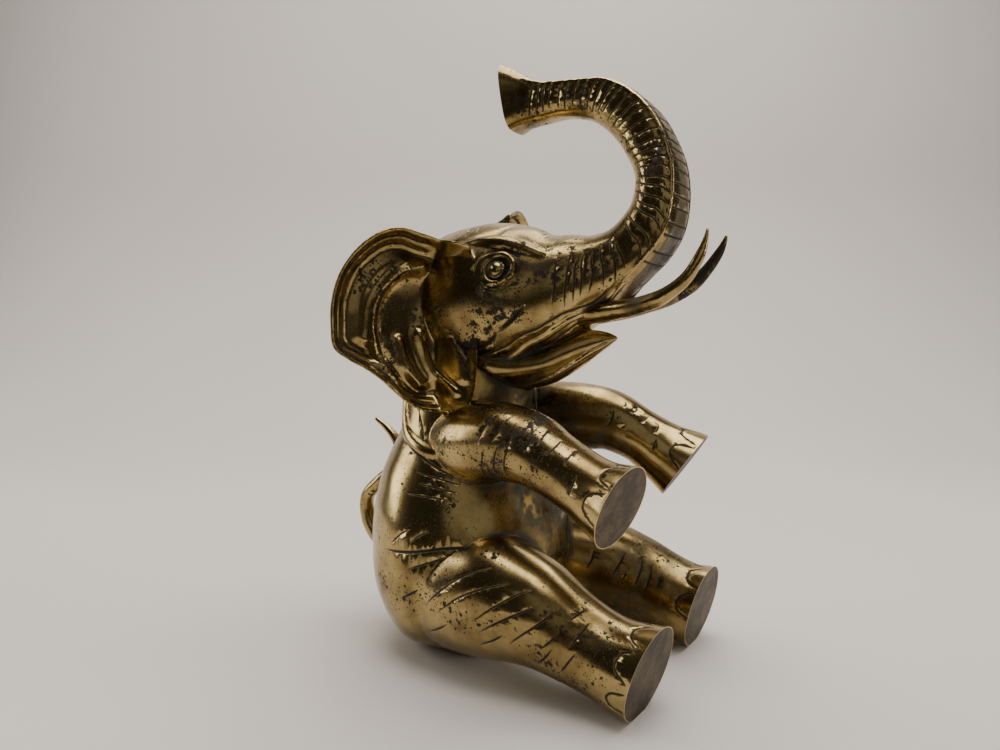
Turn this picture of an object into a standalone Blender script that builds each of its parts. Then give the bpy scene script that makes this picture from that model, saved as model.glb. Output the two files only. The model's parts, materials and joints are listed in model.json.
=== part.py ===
"""A cast brass figurine of a sitting elephant with its trunk raised over its head.

The figure sits on its rump and hind legs, holds its front legs out, and opens its mouth between two
tusks. It faces -Y, +Z is up, and the origin lies on the surface it sits on, under the rump.

The casting is drawn on a figure 352 units tall, and UNIT turns those units into metres. Each part is
a loft, a curve or a shell. They overlap, and a voxel remesh melts them into the one solid.
"""

import math
from collections import namedtuple

import bmesh
import bpy
import numpy as np
from mathutils import Matrix, Vector

# Driving dimensions, in metres.
HEIGHT = 0.352
EAR_WALL = 0.0046
EYE_RADIUS = 0.0062
VOXEL = 0.0015
FACE_BUDGET = 9300

# The figure is drawn 352 units tall.
DRAWN_HEIGHT = 352.0
UNIT = HEIGHT / DRAWN_HEIGHT

RING_SIDES = 40
RINGS_PER_SPAN = 6
SIDES = (-1, 1)

Station = namedtuple("Station", "x y z across deep outer inner", defaults=(2.0, 2.0))

# Rump, belly, chest and neck, from the ground up.
TORSO = [
    Station(0, 11, -8, 17, 17),
    Station(0, 12, 4, 33, 30),
    Station(0, 16, 15, 49, 42),
    Station(0, 22, 29, 62, 53),
    Station(0, 26, 47, 66.5, 60),
    Station(0, 28, 67, 65, 61),
    Station(0, 30, 88, 61, 59),
    Station(0, 31, 108, 54, 53),
    Station(0, 30, 132, 43, 42),
    Station(0, 28, 152, 42, 42),
    Station(0, 26, 175, 39, 39),
    Station(0, 24, 195, 32, 32),
]

# Skull, forehead and trunk, from the back of the head to the trunk's flared mouth.
HEAD_AND_TRUNK = [
    Station(0, 68, 207, 12, 14),
    Station(0, 58, 209, 29, 31),
    Station(0, 40, 212, 39, 42),
    Station(0, 20, 214, 43, 45.5),
    Station(0, 0, 215, 43, 45),
    Station(0, -17, 217, 39, 40),
    Station(0, -34, 220, 33, 32, 2.2),
    Station(0, -49, 225, 28, 25, 2.4),
    Station(0, -63, 230.5, 24.5, 20, 3.0),
    Station(0, -77, 239.5, 21.5, 16.5, 4.0),
    Station(0, -88.3, 252.2, 19.5, 15.2, 5.0),
    Station(0, -93.1, 266, 18, 13.5, 5.0),
    Station(0, -93.3, 279.8, 17, 12.7, 5.0),
    Station(0, -89.7, 291.6, 16, 12.8, 5.0),
    Station(0, -82.8, 304.4, 15, 13.1, 5.0),
    Station(0, -73, 315, 14, 12.8, 5.0),
    Station(0, -62, 322.2, 13, 11.6, 5.0),
    Station(0, -49.7, 325.6, 12.2, 10.2, 4.0),
    Station(0, -36, 327.2, 11.6, 10.2, 3.5, 2.2),
    Station(0, -24, 327.6, 11.6, 11.2, 3.5, 2.6),
    Station(0, -14, 329, 12.8, 13.8, 3.5, 3.0),
    Station(0, -6, 330.5, 14.6, 17, 3.5, 3.5),
    Station(0, 5, 332, 17.5, 21.5, 3.5, 3.5),
]

LOWER_JAW = [
    Station(0, 14, 180, 30, 20),
    Station(0, -6, 175, 26, 15.5),
    Station(0, -24, 176, 21, 13),
    Station(0, -40, 182.5, 15.5, 11),
    Station(0, -53, 188, 10.5, 8.3),
    Station(0, -63, 190.8, 5.5, 4.6),
    Station(0, -70, 191.6, 1.2, 1.0),
]

# The legs, from the body out. Each one's last station lies past its sole, which is cut flat there.
RIGHT_FRONT_LEG = [
    Station(-22, 30, 124, 19, 22),
    Station(-30, 8, 128.5, 22, 25),
    Station(-37, -14, 133.5, 21.5, 22.5),
    Station(-42, -36, 132, 20, 20.5),
    Station(-46.5, -54, 125.5, 17.8, 18),
    Station(-50, -70, 118.5, 17, 17.3),
    Station(-52.5, -83, 113, 19, 19),
    Station(-54.2, -94.5, 109, 22.7, 22.5),
    Station(-55.5, -103, 106, 25, 25),
]
LEFT_FRONT_LEG = [
    Station(22, 30, 130, 19, 22),
    Station(29, 8, 137, 22, 25),
    Station(34, -14, 141, 21.5, 22),
    Station(38, -36, 141, 20.5, 20.5),
    Station(42, -51, 138.5, 18.5, 18.8),
    Station(47, -67, 130, 17, 17),
    Station(51, -81, 120.5, 19, 19),
    Station(54, -93.5, 112.5, 22.7, 23),
    Station(56, -102, 107, 25, 25),
]
RIGHT_HIND_LEG = [
    Station(-22, 40, 38, 28, 30),
    Station(-33, 14, 43, 33, 36),
    Station(-40, -14, 45.5, 32, 35.5),
    Station(-43.5, -40, 42.5, 27, 30.5),
    Station(-45, -64, 34.5, 23, 24.5),
    Station(-45.3, -84, 27.8, 22.3, 22.5),
    Station(-45.4, -98, 24.3, 24, 24),
    Station(-45.5, -107, 23.2, 25.2, 25),
    Station(-45.7, -114, 22.6, 26, 26),
]
LEFT_HIND_LEG = [
    Station(24, 38, 38, 28, 30),
    Station(37, 12, 43, 34, 36),
    Station(45, -16, 45, 32, 34.5),
    Station(50, -40, 42.5, 28, 30.5),
    Station(53, -60, 38, 25.5, 27.5),
    Station(55, -80, 31, 23.5, 25),
    Station(56.3, -95, 26, 24, 24.5),
    Station(57, -105.5, 24.4, 25.4, 25.6),
    Station(57.5, -113, 23.6, 26, 26.5),
]

# Flats that are sawn off, each turned out from straight ahead and tipped down, in degrees.
Flat = namedtuple("Flat", "name x y z turn tip")
SOLES = [
    Flat("right_front_sole", -54.2, -94.5, 109.3, -7.7, 18.8),
    Flat("left_front_sole", 54, -93.9, 112.3, 6, 35),
    Flat("right_hind_sole", -45.4, -106.9, 23.8, -5.6, 14.1),
    Flat("left_hind_sole", 57, -105.5, 25.6, -3.8, 12.3),
]
GROUND = Flat("ground", 0, 0, 0, 0, 90)
TRUNK_MOUTH = Flat("trunk_mouth", 0, -3.2, 331.4, 180, 11)

# Curved rods: x, y, z and radius along each.
RIGHT_TUSK = [
    (-11, -52, 205, 6.6),
    (-14, -68, 206.6, 5.8),
    (-18, -81.2, 207.8, 5.0),
    (-21, -93.6, 210.4, 4.4),
    (-23, -105, 214.6, 3.9),
    (-23, -114.5, 221.8, 3.4),
    (-22, -120.4, 230.6, 2.8),
    (-20.6, -123.8, 239.4, 1.9),
    (-19, -125, 247.5, 0.8),
]
LEFT_TUSK = [
    (9, -54, 206, 6.6),
    (12.5, -70, 208, 5.8),
    (16, -83.3, 211, 5.0),
    (19.5, -94, 214.6, 4.4),
    (22, -104.5, 220.4, 3.9),
    (22, -113.4, 229, 3.4),
    (21, -119.8, 237.4, 2.6),
    (19.6, -123.2, 243, 1.7),
    (19, -125, 247.5, 0.8),
]
TAIL = [
    (0, 76, 44, 7.5),
    (0, 92, 46, 6.2),
    (0, 106, 54, 5.4),
    (0, 113.5, 66, 5.2),
    (0, 113.5, 80, 4.9),
    (0, 102, 92, 4.5),
    (0, 89, 103, 4.0),
    (0, 85, 115, 3.4),
    (0, 92, 126, 2.8),
    (0, 105.6, 135, 1.3),
]

# An ear lies in an upright plane that leaves the head at EAR_ROOT and sweeps back by EAR_SWEEP.
# Its outline is (distance out from the root, height).
EAR_ROOT = (36, 30)
EAR_SWEEP = math.radians(35)
EAR_HEART = (18, 204)
EAR_OUTLINE = [
    (-12, 243), (3, 248), (12, 250.5), (21, 252.8), (31, 251.5), (41, 246), (50.5, 237), (57.5, 226),
    (61.5, 212), (62, 199), (60.8, 187), (53, 180.5), (43, 175), (34, 168.5), (27, 161.5),
    (20, 155.5), (11, 150.5), (0, 149), (-11, 152), (-15, 170), (-16, 195), (-15, 222),
]
EAR_BOWL = 7.0
EAR_RIM_CURL = 8.0
LEFT_EAR_LIFT = 22.0
# Folds on the ear's front: height, half-width, then the points that each runs through.
EAR_FOLDS = [
    (4.2, 3.2, [(6, 232), (20, 230), (29.5, 223), (35.5, 212), (37.8, 200), (36, 187), (31, 174), (24, 165)]),
    (3.4, 3.0, [(21, 190), (19, 182), (15.5, 173), (10, 163)]),
    (3.2, 3.0, [(9, 194), (7, 184), (4.5, 176), (-2, 168)]),
    (3.0, 3.4, [(1.5, 205), (-3, 197), (-8, 186), (-10, 172)]),
]
EYE = (37.5, -12.8, 229.5)
EYE_FACING = Vector((0.94, 0, 0.34))
EYELID = (8.2, 2.2)
# The ridge over each eye, on the +X side: x, y, z and radius.
BROW = [(29, 14, 246, 2.2), (30.8, 3, 246.6, 3.2), (30.6, -10, 246.4, 3.6), (28.5, -23, 243.2, 3.4),
        (26, -35, 237.6, 2.2)]


def metres(point):
    """A point in the figure's units as a Vector in metres."""
    return Vector(point) * UNIT


def smooth_path(rows, steps):
    """A Catmull-Rom curve through the rows of numbers, with this many steps from row to row."""
    rows = np.asarray(rows, float)
    padded = np.vstack([2 * rows[0] - rows[1], rows, 2 * rows[-1] - rows[-2]])
    t = np.linspace(0, 1, steps, endpoint=False)[:, None]
    spans = [
        0.5
        * (
            2 * b
            + (c - a) * t
            + (2 * a - 5 * b + 4 * c - d) * t**2
            + (3 * b - a - 3 * c + d) * t**3
        )
        for a, b, c, d in zip(padded, padded[1:], padded[2:], padded[3:])
    ]
    return np.vstack(spans + [rows[-1:]])


def loft(name, stations):
    """A closed body through sections that stand square to the stations' path.

    A section is an ellipse where its outer and inner values are 2. A larger value squares off that
    half. The outer half is the trunk's outside, the front of the torso and the top of a leg.
    """
    rows = smooth_path([list(s) for s in stations], RINGS_PER_SPAN)
    centre = rows[:, :3] * UNIT
    along = np.gradient(centre, axis=0)
    along /= np.linalg.norm(along, axis=1)[:, None]
    across = np.array([1.0, 0, 0]) - along[:, :1] * along
    across /= np.linalg.norm(across, axis=1)[:, None]
    deep = np.cross(across, along)
    turn = np.linspace(0, 2 * math.pi, RING_SIDES, endpoint=False)
    power = 2 / np.where(np.sin(turn) > 0, rows[:, 5:6], rows[:, 6:7])
    wide = np.sign(np.cos(turn)) * np.abs(np.cos(turn)) ** power * rows[:, 3:4] * UNIT
    high = np.sign(np.sin(turn)) * np.abs(np.sin(turn)) ** power * rows[:, 4:5] * UNIT
    points = (
        centre[:, None]
        + wide[..., None] * across[:, None]
        + high[..., None] * deep[:, None]
    )
    bm = bmesh.new()
    rings = [[bm.verts.new(p) for p in ring] for ring in points]
    for low, top in zip(rings, rings[1:]):
        for i in range(RING_SIDES):
            j = (i + 1) % RING_SIDES
            bm.faces.new((low[i], low[j], top[j], top[i]))
    bm.faces.new(rings[0][::-1])
    bm.faces.new(rings[-1])
    bmesh.ops.recalc_face_normals(bm, faces=bm.faces)
    return mesh_object(name, bm)


def mesh_object(name, bm):
    """A new object in the casting's collection that holds the bmesh."""
    mesh = bpy.data.meshes.new(name)
    bm.to_mesh(mesh)
    bm.free()
    obj = bpy.data.objects.new(name, mesh)
    pieces.objects.link(obj)
    return obj


def rod(name, rows):
    """A tapering rod: a curve with a round bevel, made a closed mesh."""
    data = bpy.data.curves.new(name, "CURVE")
    data.dimensions = "3D"
    data.bevel_depth = UNIT
    data.bevel_resolution = 4
    data.use_fill_caps = True
    fine = smooth_path(rows, RINGS_PER_SPAN)
    spline = data.splines.new("POLY")
    spline.points.add(len(fine) - 1)
    for point, (x, y, z, radius) in zip(spline.points, fine):
        point.co = (*metres((x, y, z)), 1)
        point.radius = radius
    curve = bpy.data.objects.new(name + "_curve", data)
    pieces.objects.link(curve)
    return as_closed_mesh(name, curve)


def as_closed_mesh(name, source):
    """The evaluated shape of an object as a new welded mesh object, in place of the source."""
    bpy.context.view_layer.update()
    graph = bpy.context.evaluated_depsgraph_get()
    mesh = bpy.data.meshes.new_from_object(source.evaluated_get(graph))
    bm = bmesh.new()
    bm.from_mesh(mesh)
    bm.transform(source.matrix_world)
    bmesh.ops.remove_doubles(bm, verts=bm.verts, dist=UNIT * 0.01)
    bmesh.ops.recalc_face_normals(bm, faces=bm.faces)
    bpy.data.meshes.remove(mesh)
    bpy.data.objects.remove(source)
    return mesh_object(name, bm)


def distance_to_line(points, line):
    """How far each 2-D point lies from a line of straight runs."""
    starts, ends = line[:-1], line[1:]
    runs = ends - starts
    share = ((points[..., None, :] - starts) * runs).sum(-1) / (runs**2).sum(-1)
    nearest = starts + np.clip(share, 0, 1)[..., None] * runs
    return np.linalg.norm(points[..., None, :] - nearest, axis=-1).min(-1)


def ear(name, side):
    """A shell shaped like a bowl: rings from its heart to its outline, with folds and a curled rim."""
    outline = smooth_path(EAR_OUTLINE + EAR_OUTLINE[:1], 3)[:-1]
    reach = np.linspace(0.04, 1, 20)[:, None, None]
    flat = np.array(EAR_HEART) + reach * (outline - np.array(EAR_HEART))
    share = reach[..., 0]
    forward = -EAR_BOWL * (1 - share**2) + EAR_RIM_CURL * np.clip((share - 0.8) / 0.2, 0, 1) ** 2
    for height, half_width, line in EAR_FOLDS:
        away = distance_to_line(flat, smooth_path(line, 4))
        forward = forward + height * np.exp(-((away / half_width) ** 2))
    out, up = flat[..., 0], flat[..., 1]
    lift = LEFT_EAR_LIFT * (side > 0) * np.clip(out / 12, 0, 1)
    x = side * (EAR_ROOT[0] + out * math.cos(EAR_SWEEP) + forward * math.sin(EAR_SWEEP))
    y = EAR_ROOT[1] + out * math.sin(EAR_SWEEP) - forward * math.cos(EAR_SWEEP)
    points = np.stack([x, y, up + lift], -1) * UNIT
    bm = bmesh.new()
    heart = bm.verts.new(points[0].mean(0))
    rings = [[bm.verts.new(p) for p in ring] for ring in points]
    count = len(outline)
    for i in range(count):
        j = (i + 1) % count
        bm.faces.new((heart, rings[0][i], rings[0][j]))
        for inner, outer in zip(rings, rings[1:]):
            bm.faces.new((inner[i], outer[i], outer[j], inner[j]))
    bmesh.ops.recalc_face_normals(bm, faces=bm.faces)
    sheet = mesh_object(name + "_sheet", bm)
    shell = sheet.modifiers.new("wall", "SOLIDIFY")
    shell.thickness = EAR_WALL
    shell.offset = 0
    return as_closed_mesh(name, sheet)


def eyeball(name, side):
    """A ball set into the side of the head."""
    x, y, z = EYE
    bm = bmesh.new()
    bmesh.ops.create_uvsphere(
        bm,
        u_segments=24,
        v_segments=16,
        radius=EYE_RADIUS,
        matrix=Matrix.Translation(metres((x * side, y, z))),
    )
    return mesh_object(name, bm)


def facing(flat):
    """The direction that a flat faces: turned about +Z from straight ahead, then tipped down."""
    turn, tip = math.radians(flat.turn), math.radians(flat.tip)
    return Vector((math.sin(turn) * math.cos(tip), -math.cos(turn) * math.cos(tip), -math.sin(tip)))


def eyelid(name, side):
    """A ring of brass around the eyeball."""
    around, thick = EYELID
    rise = EYE_FACING.cross(Vector((0, 1, 0)))
    rows = []
    for step in range(13):
        turn = step * math.pi / 6
        x, y, z = Vector(EYE) + around * (math.cos(turn) * Vector((0, 1, 0)) + math.sin(turn) * rise)
        rows.append((x * side, y, z, thick))
    return rod(name, rows)


def brow(name, side):
    """The ridge over an eye."""
    return rod(name, [(x * side, y, z, radius) for x, y, z, radius in BROW])


def cutting_block(flat, size):
    """A box that takes away what lies past a flat."""
    square = facing(flat).to_track_quat("Z", "X").to_matrix().to_4x4()
    centre = metres((flat.x, flat.y, flat.z)) + facing(flat) * size / 2
    place = Matrix.Translation(centre) @ square
    name = flat.name
    bm = bmesh.new()
    bmesh.ops.create_cube(bm, size=size, matrix=place)
    mesh = bpy.data.meshes.new(name)
    bm.to_mesh(mesh)
    bm.free()
    block = bpy.data.objects.new(name, mesh)
    block.hide_render = True
    block.display_type = "WIRE"
    cutters.objects.link(block)
    return block


def brass():
    """Polished yellow brass, gone a little brown."""
    material = bpy.data.materials.new("brass")
    material.use_nodes = True
    shader = material.node_tree.nodes["Principled BSDF"]
    shader.inputs["Base Color"].default_value = (0.72, 0.56, 0.30, 1)
    shader.inputs["Metallic"].default_value = 1.0
    shader.inputs["Roughness"].default_value = 0.22
    return material


def join_as(name, objects):
    """One object that holds the meshes of all the objects."""
    bm = bmesh.new()
    for obj in objects:
        bm.from_mesh(obj.data)
        bpy.data.objects.remove(obj)
    return mesh_object(name, bm)


def melt_together(obj):
    """Turns overlapping bodies into one skin, rounds the joins and thins out the faces."""
    remesh = obj.modifiers.new("melt", "REMESH")
    remesh.mode = "VOXEL"
    remesh.voxel_size = VOXEL
    soften = obj.modifiers.new("soften", "SMOOTH")
    soften.factor = 0.5
    soften.iterations = 8
    thin = obj.modifiers.new("thin", "DECIMATE")
    bpy.context.view_layer.update()
    graph = bpy.context.evaluated_depsgraph_get()
    dense = obj.evaluated_get(graph).to_mesh()
    dense.calc_loop_triangles()
    thin.ratio = FACE_BUDGET / len(dense.loop_triangles)


def cut_flat(obj, blocks):
    """Saws the casting off where it rests and at its soles."""
    for block in blocks:
        saw = obj.modifiers.new(block.name, "BOOLEAN")
        saw.operation = "DIFFERENCE"
        saw.object = block


def new_collection(name):
    """A collection of this name in the scene."""
    collection = bpy.data.collections.new(name)
    bpy.context.scene.collection.children.link(collection)
    return collection


def build():
    """Lofts every limb, melts them into one casting and saws its flats."""
    limbs = [
        loft("torso", TORSO),
        loft("head_and_trunk", HEAD_AND_TRUNK),
        loft("lower_jaw", LOWER_JAW),
        loft("right_front_leg", RIGHT_FRONT_LEG),
        loft("left_front_leg", LEFT_FRONT_LEG),
        loft("right_hind_leg", RIGHT_HIND_LEG),
        loft("left_hind_leg", LEFT_HIND_LEG),
        rod("right_tusk", RIGHT_TUSK),
        rod("left_tusk", LEFT_TUSK),
        rod("tail", TAIL),
    ]
    for side in SIDES:
        limbs += [ear("ear", side), eyeball("eye", side), eyelid("eyelid", side), brow("brow", side)]
    casting = join_as("elephant", limbs)
    casting.data.materials.append(brass())
    melt_together(casting)
    blocks = [cutting_block(GROUND, 2 * HEIGHT)]
    blocks += [cutting_block(flat, HEIGHT / 5) for flat in SOLES + [TRUNK_MOUTH]]
    cut_flat(casting, blocks)


for old in list(bpy.data.objects):
    bpy.data.objects.remove(old)
pieces = new_collection("elephant figurine")
cutters = new_collection("cutters")
build()
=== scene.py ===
"""A cast brass figurine of a sitting elephant, dressed for the render.

The casting is one skin. Lofts, rods and shells are fused, smoothed and sawn flat, then engraved and
thinned. Sizes are in millimetres on a figure that is DRAWN_HEIGHT tall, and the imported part's own
height sets the scale. The elephant faces -Y, and its right side, on -X, faces the camera.
"""

import json
import logging
import math
from dataclasses import dataclass, field
from enum import Enum
from typing import NamedTuple, Sequence

import bmesh
import bpy
import numpy as np
from mathutils import Matrix, Vector

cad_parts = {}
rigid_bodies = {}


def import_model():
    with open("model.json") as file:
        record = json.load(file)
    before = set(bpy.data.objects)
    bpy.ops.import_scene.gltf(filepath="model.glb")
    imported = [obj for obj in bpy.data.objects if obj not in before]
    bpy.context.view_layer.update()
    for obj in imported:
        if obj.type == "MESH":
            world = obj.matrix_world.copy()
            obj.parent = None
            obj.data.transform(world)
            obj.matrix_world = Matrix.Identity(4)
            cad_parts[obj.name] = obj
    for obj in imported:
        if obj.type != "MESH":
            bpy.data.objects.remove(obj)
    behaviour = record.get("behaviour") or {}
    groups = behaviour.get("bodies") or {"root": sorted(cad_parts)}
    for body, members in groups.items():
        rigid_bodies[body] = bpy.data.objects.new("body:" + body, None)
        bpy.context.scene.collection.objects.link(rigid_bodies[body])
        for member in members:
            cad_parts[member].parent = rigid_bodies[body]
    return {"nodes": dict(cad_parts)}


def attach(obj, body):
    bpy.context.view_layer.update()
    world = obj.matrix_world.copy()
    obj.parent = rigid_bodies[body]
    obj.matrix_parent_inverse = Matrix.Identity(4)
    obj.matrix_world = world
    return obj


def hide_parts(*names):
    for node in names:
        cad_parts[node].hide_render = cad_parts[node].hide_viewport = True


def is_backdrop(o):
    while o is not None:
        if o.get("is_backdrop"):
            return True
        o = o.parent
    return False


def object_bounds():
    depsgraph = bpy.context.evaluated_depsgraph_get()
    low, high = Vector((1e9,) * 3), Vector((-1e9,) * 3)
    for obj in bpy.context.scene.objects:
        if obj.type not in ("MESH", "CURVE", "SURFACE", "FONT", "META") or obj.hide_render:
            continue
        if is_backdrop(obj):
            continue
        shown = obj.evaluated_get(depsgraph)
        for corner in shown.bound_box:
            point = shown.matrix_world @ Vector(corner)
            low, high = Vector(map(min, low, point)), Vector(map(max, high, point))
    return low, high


log = logging.getLogger("elephant")

DRAWN_HEIGHT = 352.5

Array = np.ndarray
Mark = tuple[float, float]


class Side(Enum):
    """Which side of the elephant a thing is on, as the sign of its x."""

    RIGHT = -1
    LEFT = 1


class Station(NamedTuple):
    """One rounded section of a loft: its centre, half-widths and how square each half is."""

    x: float
    y: float
    z: float
    across: float
    deep: float
    outer: float = 2.0
    inner: float = 2.0


class Solid(NamedTuple):
    """A closed surface: points in millimetres and faces as lists of point numbers."""

    points: Array
    faces: list


class Trace(NamedTuple):
    """A line over the skin, in millimetres, and the way that the skin faces along it."""

    line: Array
    outward: Array


class Stroke(NamedTuple):
    """A line that is cut into the skin or stands up from it.

    Height is below zero for a cut. Dark is how dark the line is painted: tarnish in a cut, and
    painted shade in the broad band over the trunk's outer face. Ends is the share of the line over
    which each end runs out.
    """

    trace: Trace
    width: float = 0.75
    height: float = -0.42
    dark: float = 1.0
    ends: float = 0.3


def placed(name: str, data: bpy.types.ID) -> bpy.types.Object:
    """A new object with this data, in the scene."""
    made = bpy.data.objects.new(name, data)
    bpy.context.scene.collection.objects.link(made)
    return made


def mirrored(marks: Sequence[Mark], side: Side) -> list[Mark]:
    """Marks noted on the side that faces -X, as they lie on this side."""
    return [(run, angle if side is Side.RIGHT else 180 - angle) for run, angle in marks]


def unit(vectors: Array) -> Array:
    """The vectors, each made one long."""
    return vectors / np.maximum(np.linalg.norm(vectors, axis=-1, keepdims=True), 1e-9)


def smooth_path(rows: Sequence, steps: int) -> Array:
    """Carries a Catmull-Rom curve through rows of numbers.

    Between two rows b and c, with a before and d after, a point at share t is
    (2b + (c - a) t + (2a - 5b + 4c - d) t^2 + (3b - a - 3c + d) t^3) / 2.

    Args:
        rows: the rows that the curve passes through.
        steps: how many steps lead from one row to the next.

    Returns:
        The rows of the fine curve.
    """
    rows = np.asarray(rows, float)
    padded = np.vstack([2 * rows[0] - rows[1], rows, 2 * rows[-1] - rows[-2]])
    a, b, c, d = (padded[i : len(padded) - 3 + i, None, :] for i in range(4))
    t = np.linspace(0, 1, steps, endpoint=False)[None, :, None]
    fine = 0.5 * (
        2 * b
        + (c - a) * t
        + (2 * a - 5 * b + 4 * c - d) * t**2
        + (3 * b - a - 3 * c + d) * t**3
    )
    return np.vstack([fine.reshape(-1, rows.shape[1]), rows[-1:]])


def closed_tube(rings: Array) -> Solid:
    """Closes a grid of rings into a solid.

    Face (i, j) joins rings i and i + 1 between their points j and j + 1, and a fan round the mean
    of an end ring closes that end.

    Args:
        rings: an array of rings, points and coordinates.

    Returns:
        The closed solid.
    """
    count, sides = rings.shape[:2]
    grid = np.arange(count * sides).reshape(count, sides)
    turned = np.roll(grid, -1, axis=1)
    quads = np.stack([grid[:-1], turned[:-1], turned[1:], grid[1:]], -1).reshape(-1, 4)
    first, last = count * sides, count * sides + 1
    start = np.stack([np.full(sides, first), turned[0], grid[0]], -1)
    end = np.stack([np.full(sides, last), grid[-1], turned[-1]], -1)
    points = np.vstack([rings.reshape(-1, 3), rings[0].mean(0), rings[-1].mean(0)])
    return Solid(points, quads.tolist() + start.tolist() + end.tolist())


@dataclass
class Loft:
    """A body through sections that stand square to a path.

    At share t of the path and angle a of the section, a point is the centre plus the across
    direction times across * cos(a)^p and the deep direction times deep * sin(a)^p. The power p is 2
    over the squareness of that half, and the deep direction faces forward on an upright path.
    """

    stations: Sequence[Station]
    sides: int = 180
    steps: int = 18
    centre: Array = field(init=False)
    across: Array = field(init=False)
    deep: Array = field(init=False)
    sizes: Array = field(init=False)

    def __post_init__(self) -> None:
        """Works out the fine path and the two directions of each section."""
        rows = smooth_path(self.stations, self.steps)
        self.centre = rows[:, :3]
        along = np.gradient(self.centre, axis=0)
        along /= np.linalg.norm(along, axis=1)[:, None]
        across = np.array([1.0, 0, 0]) - along[:, :1] * along
        self.across = across / np.linalg.norm(across, axis=1)[:, None]
        self.deep = np.cross(self.across, along)
        self.sizes = rows[:, 3:]

    def at(self, run: Array, angle: Array) -> Array:
        """The points at these runs, counted in stations, and angles, in degrees.

        Args:
            run: where along the path, from 0 at the first station.
            angle: 0 at +X, 90 at the outer side, 180 at -X and 270 at the inner side.

        Returns:
            The points, in millimetres.
        """
        place = np.clip(np.asarray(run, float) * self.steps, 0, len(self.centre) - 1)
        ends = np.arange(len(self.centre))
        centre, across, deep, sizes = (
            np.stack([np.interp(place, ends, column) for column in values.T], -1)
            for values in (self.centre, self.across, self.deep, self.sizes)
        )
        turn = np.radians(angle)
        power = 2 / np.where(np.sin(turn) > 0, sizes[..., 2], sizes[..., 3])
        wide = np.sign(np.cos(turn)) * np.abs(np.cos(turn)) ** power * sizes[..., 0]
        high = np.sign(np.sin(turn)) * np.abs(np.sin(turn)) ** power * sizes[..., 1]
        return centre + wide[..., None] * across + high[..., None] * deep

    def solid(self) -> Solid:
        """The closed loft."""
        runs = np.arange(len(self.centre)) / self.steps
        angles = np.linspace(0, 360, self.sides, endpoint=False)
        return closed_tube(self.at(*np.meshgrid(runs, angles, indexing="ij")))

    def trace(self, marks: Sequence[Mark], steps: int = 8) -> Trace:
        """A smooth line over the loft's skin.

        Args:
            marks: (run, angle) pairs that the line passes through.
            steps: how many steps lead from one mark to the next.

        Returns:
            The line and the way that the skin faces along it.
        """
        fine = smooth_path(marks, steps)
        line = self.at(fine[:, 0], fine[:, 1])
        return Trace(line, unit(line - self.at(fine[:, 0], fine[:, 1] + 180)))


def rod(rows: Sequence, sides: int = 24) -> Solid:
    """A tapering round rod: a loft whose rows are x, y, z and radius."""
    return Loft([Station(x, y, z, r, r) for x, y, z, r in rows], sides=sides, steps=8).solid()


def bead(trace: Trace, radius: float, sunk: float = 0.5) -> Solid:
    """A rod along a line of the skin, sunk by a share of its radius, that thins at its ends."""
    share = np.linspace(0, 1, len(trace.line))
    thick = radius * np.clip(np.minimum(share, 1 - share) / 0.08, 0.15, 1) ** 0.5
    middle = trace.line - sunk * radius * trace.outward
    return rod(np.hstack([middle, thick[:, None]]).tolist(), 16)


def ball(centre: Sequence, radius: float) -> Solid:
    """A sphere: at height angle b a ring has radius r cos(b) and stands at r sin(b)."""
    b = np.radians(np.linspace(-88, 88, 25))[:, None]
    a = np.linspace(0, 2 * math.pi, 32, endpoint=False)[None]
    wide = radius * np.cos(b)
    rings = np.stack([wide * np.cos(a), wide * np.sin(a), radius * np.sin(b) + 0 * a], -1)
    return closed_tube(rings + np.asarray(centre, float))


def away_from_line(points: Array, line: Array) -> tuple[Array, Array]:
    """How far points lie from a line of straight runs.

    Args:
        points: an array of points.
        line: the line's corners.

    Returns:
        The offsets from the nearest points on the line, and where those lie, counted in corners.
    """
    starts, runs = line[:-1], np.diff(line, axis=0)
    share = ((points[:, None] - starts) * runs).sum(-1) / np.maximum((runs**2).sum(-1), 1e-9)
    share = np.clip(share, 0, 1)
    offset = points[:, None] - (starts + share[..., None] * runs)
    best = (offset**2).sum(-1).argmin(1)
    rows = np.arange(len(points))
    return offset[rows, best], best + share[rows, best]


@dataclass(frozen=True)
class Flat:
    """A sawn flat: a point on it, its turn from straight ahead, and its tip down, in degrees."""

    x: float
    y: float
    z: float
    turn: float
    tip: float

    def facing(self) -> Array:
        """The outward normal: straight ahead turned about +Z, then tipped down."""
        turn, tip = math.radians(self.turn), math.radians(self.tip)
        level = math.cos(tip)
        return np.array([math.sin(turn) * level, -math.cos(turn) * level, -math.sin(tip)])

    def point(self) -> Array:
        """A point on the flat."""
        return np.array([self.x, self.y, self.z])


# The seat: level with the table and facing straight down.
GROUND = Flat(0, 0, 0, 0, 90)


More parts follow.
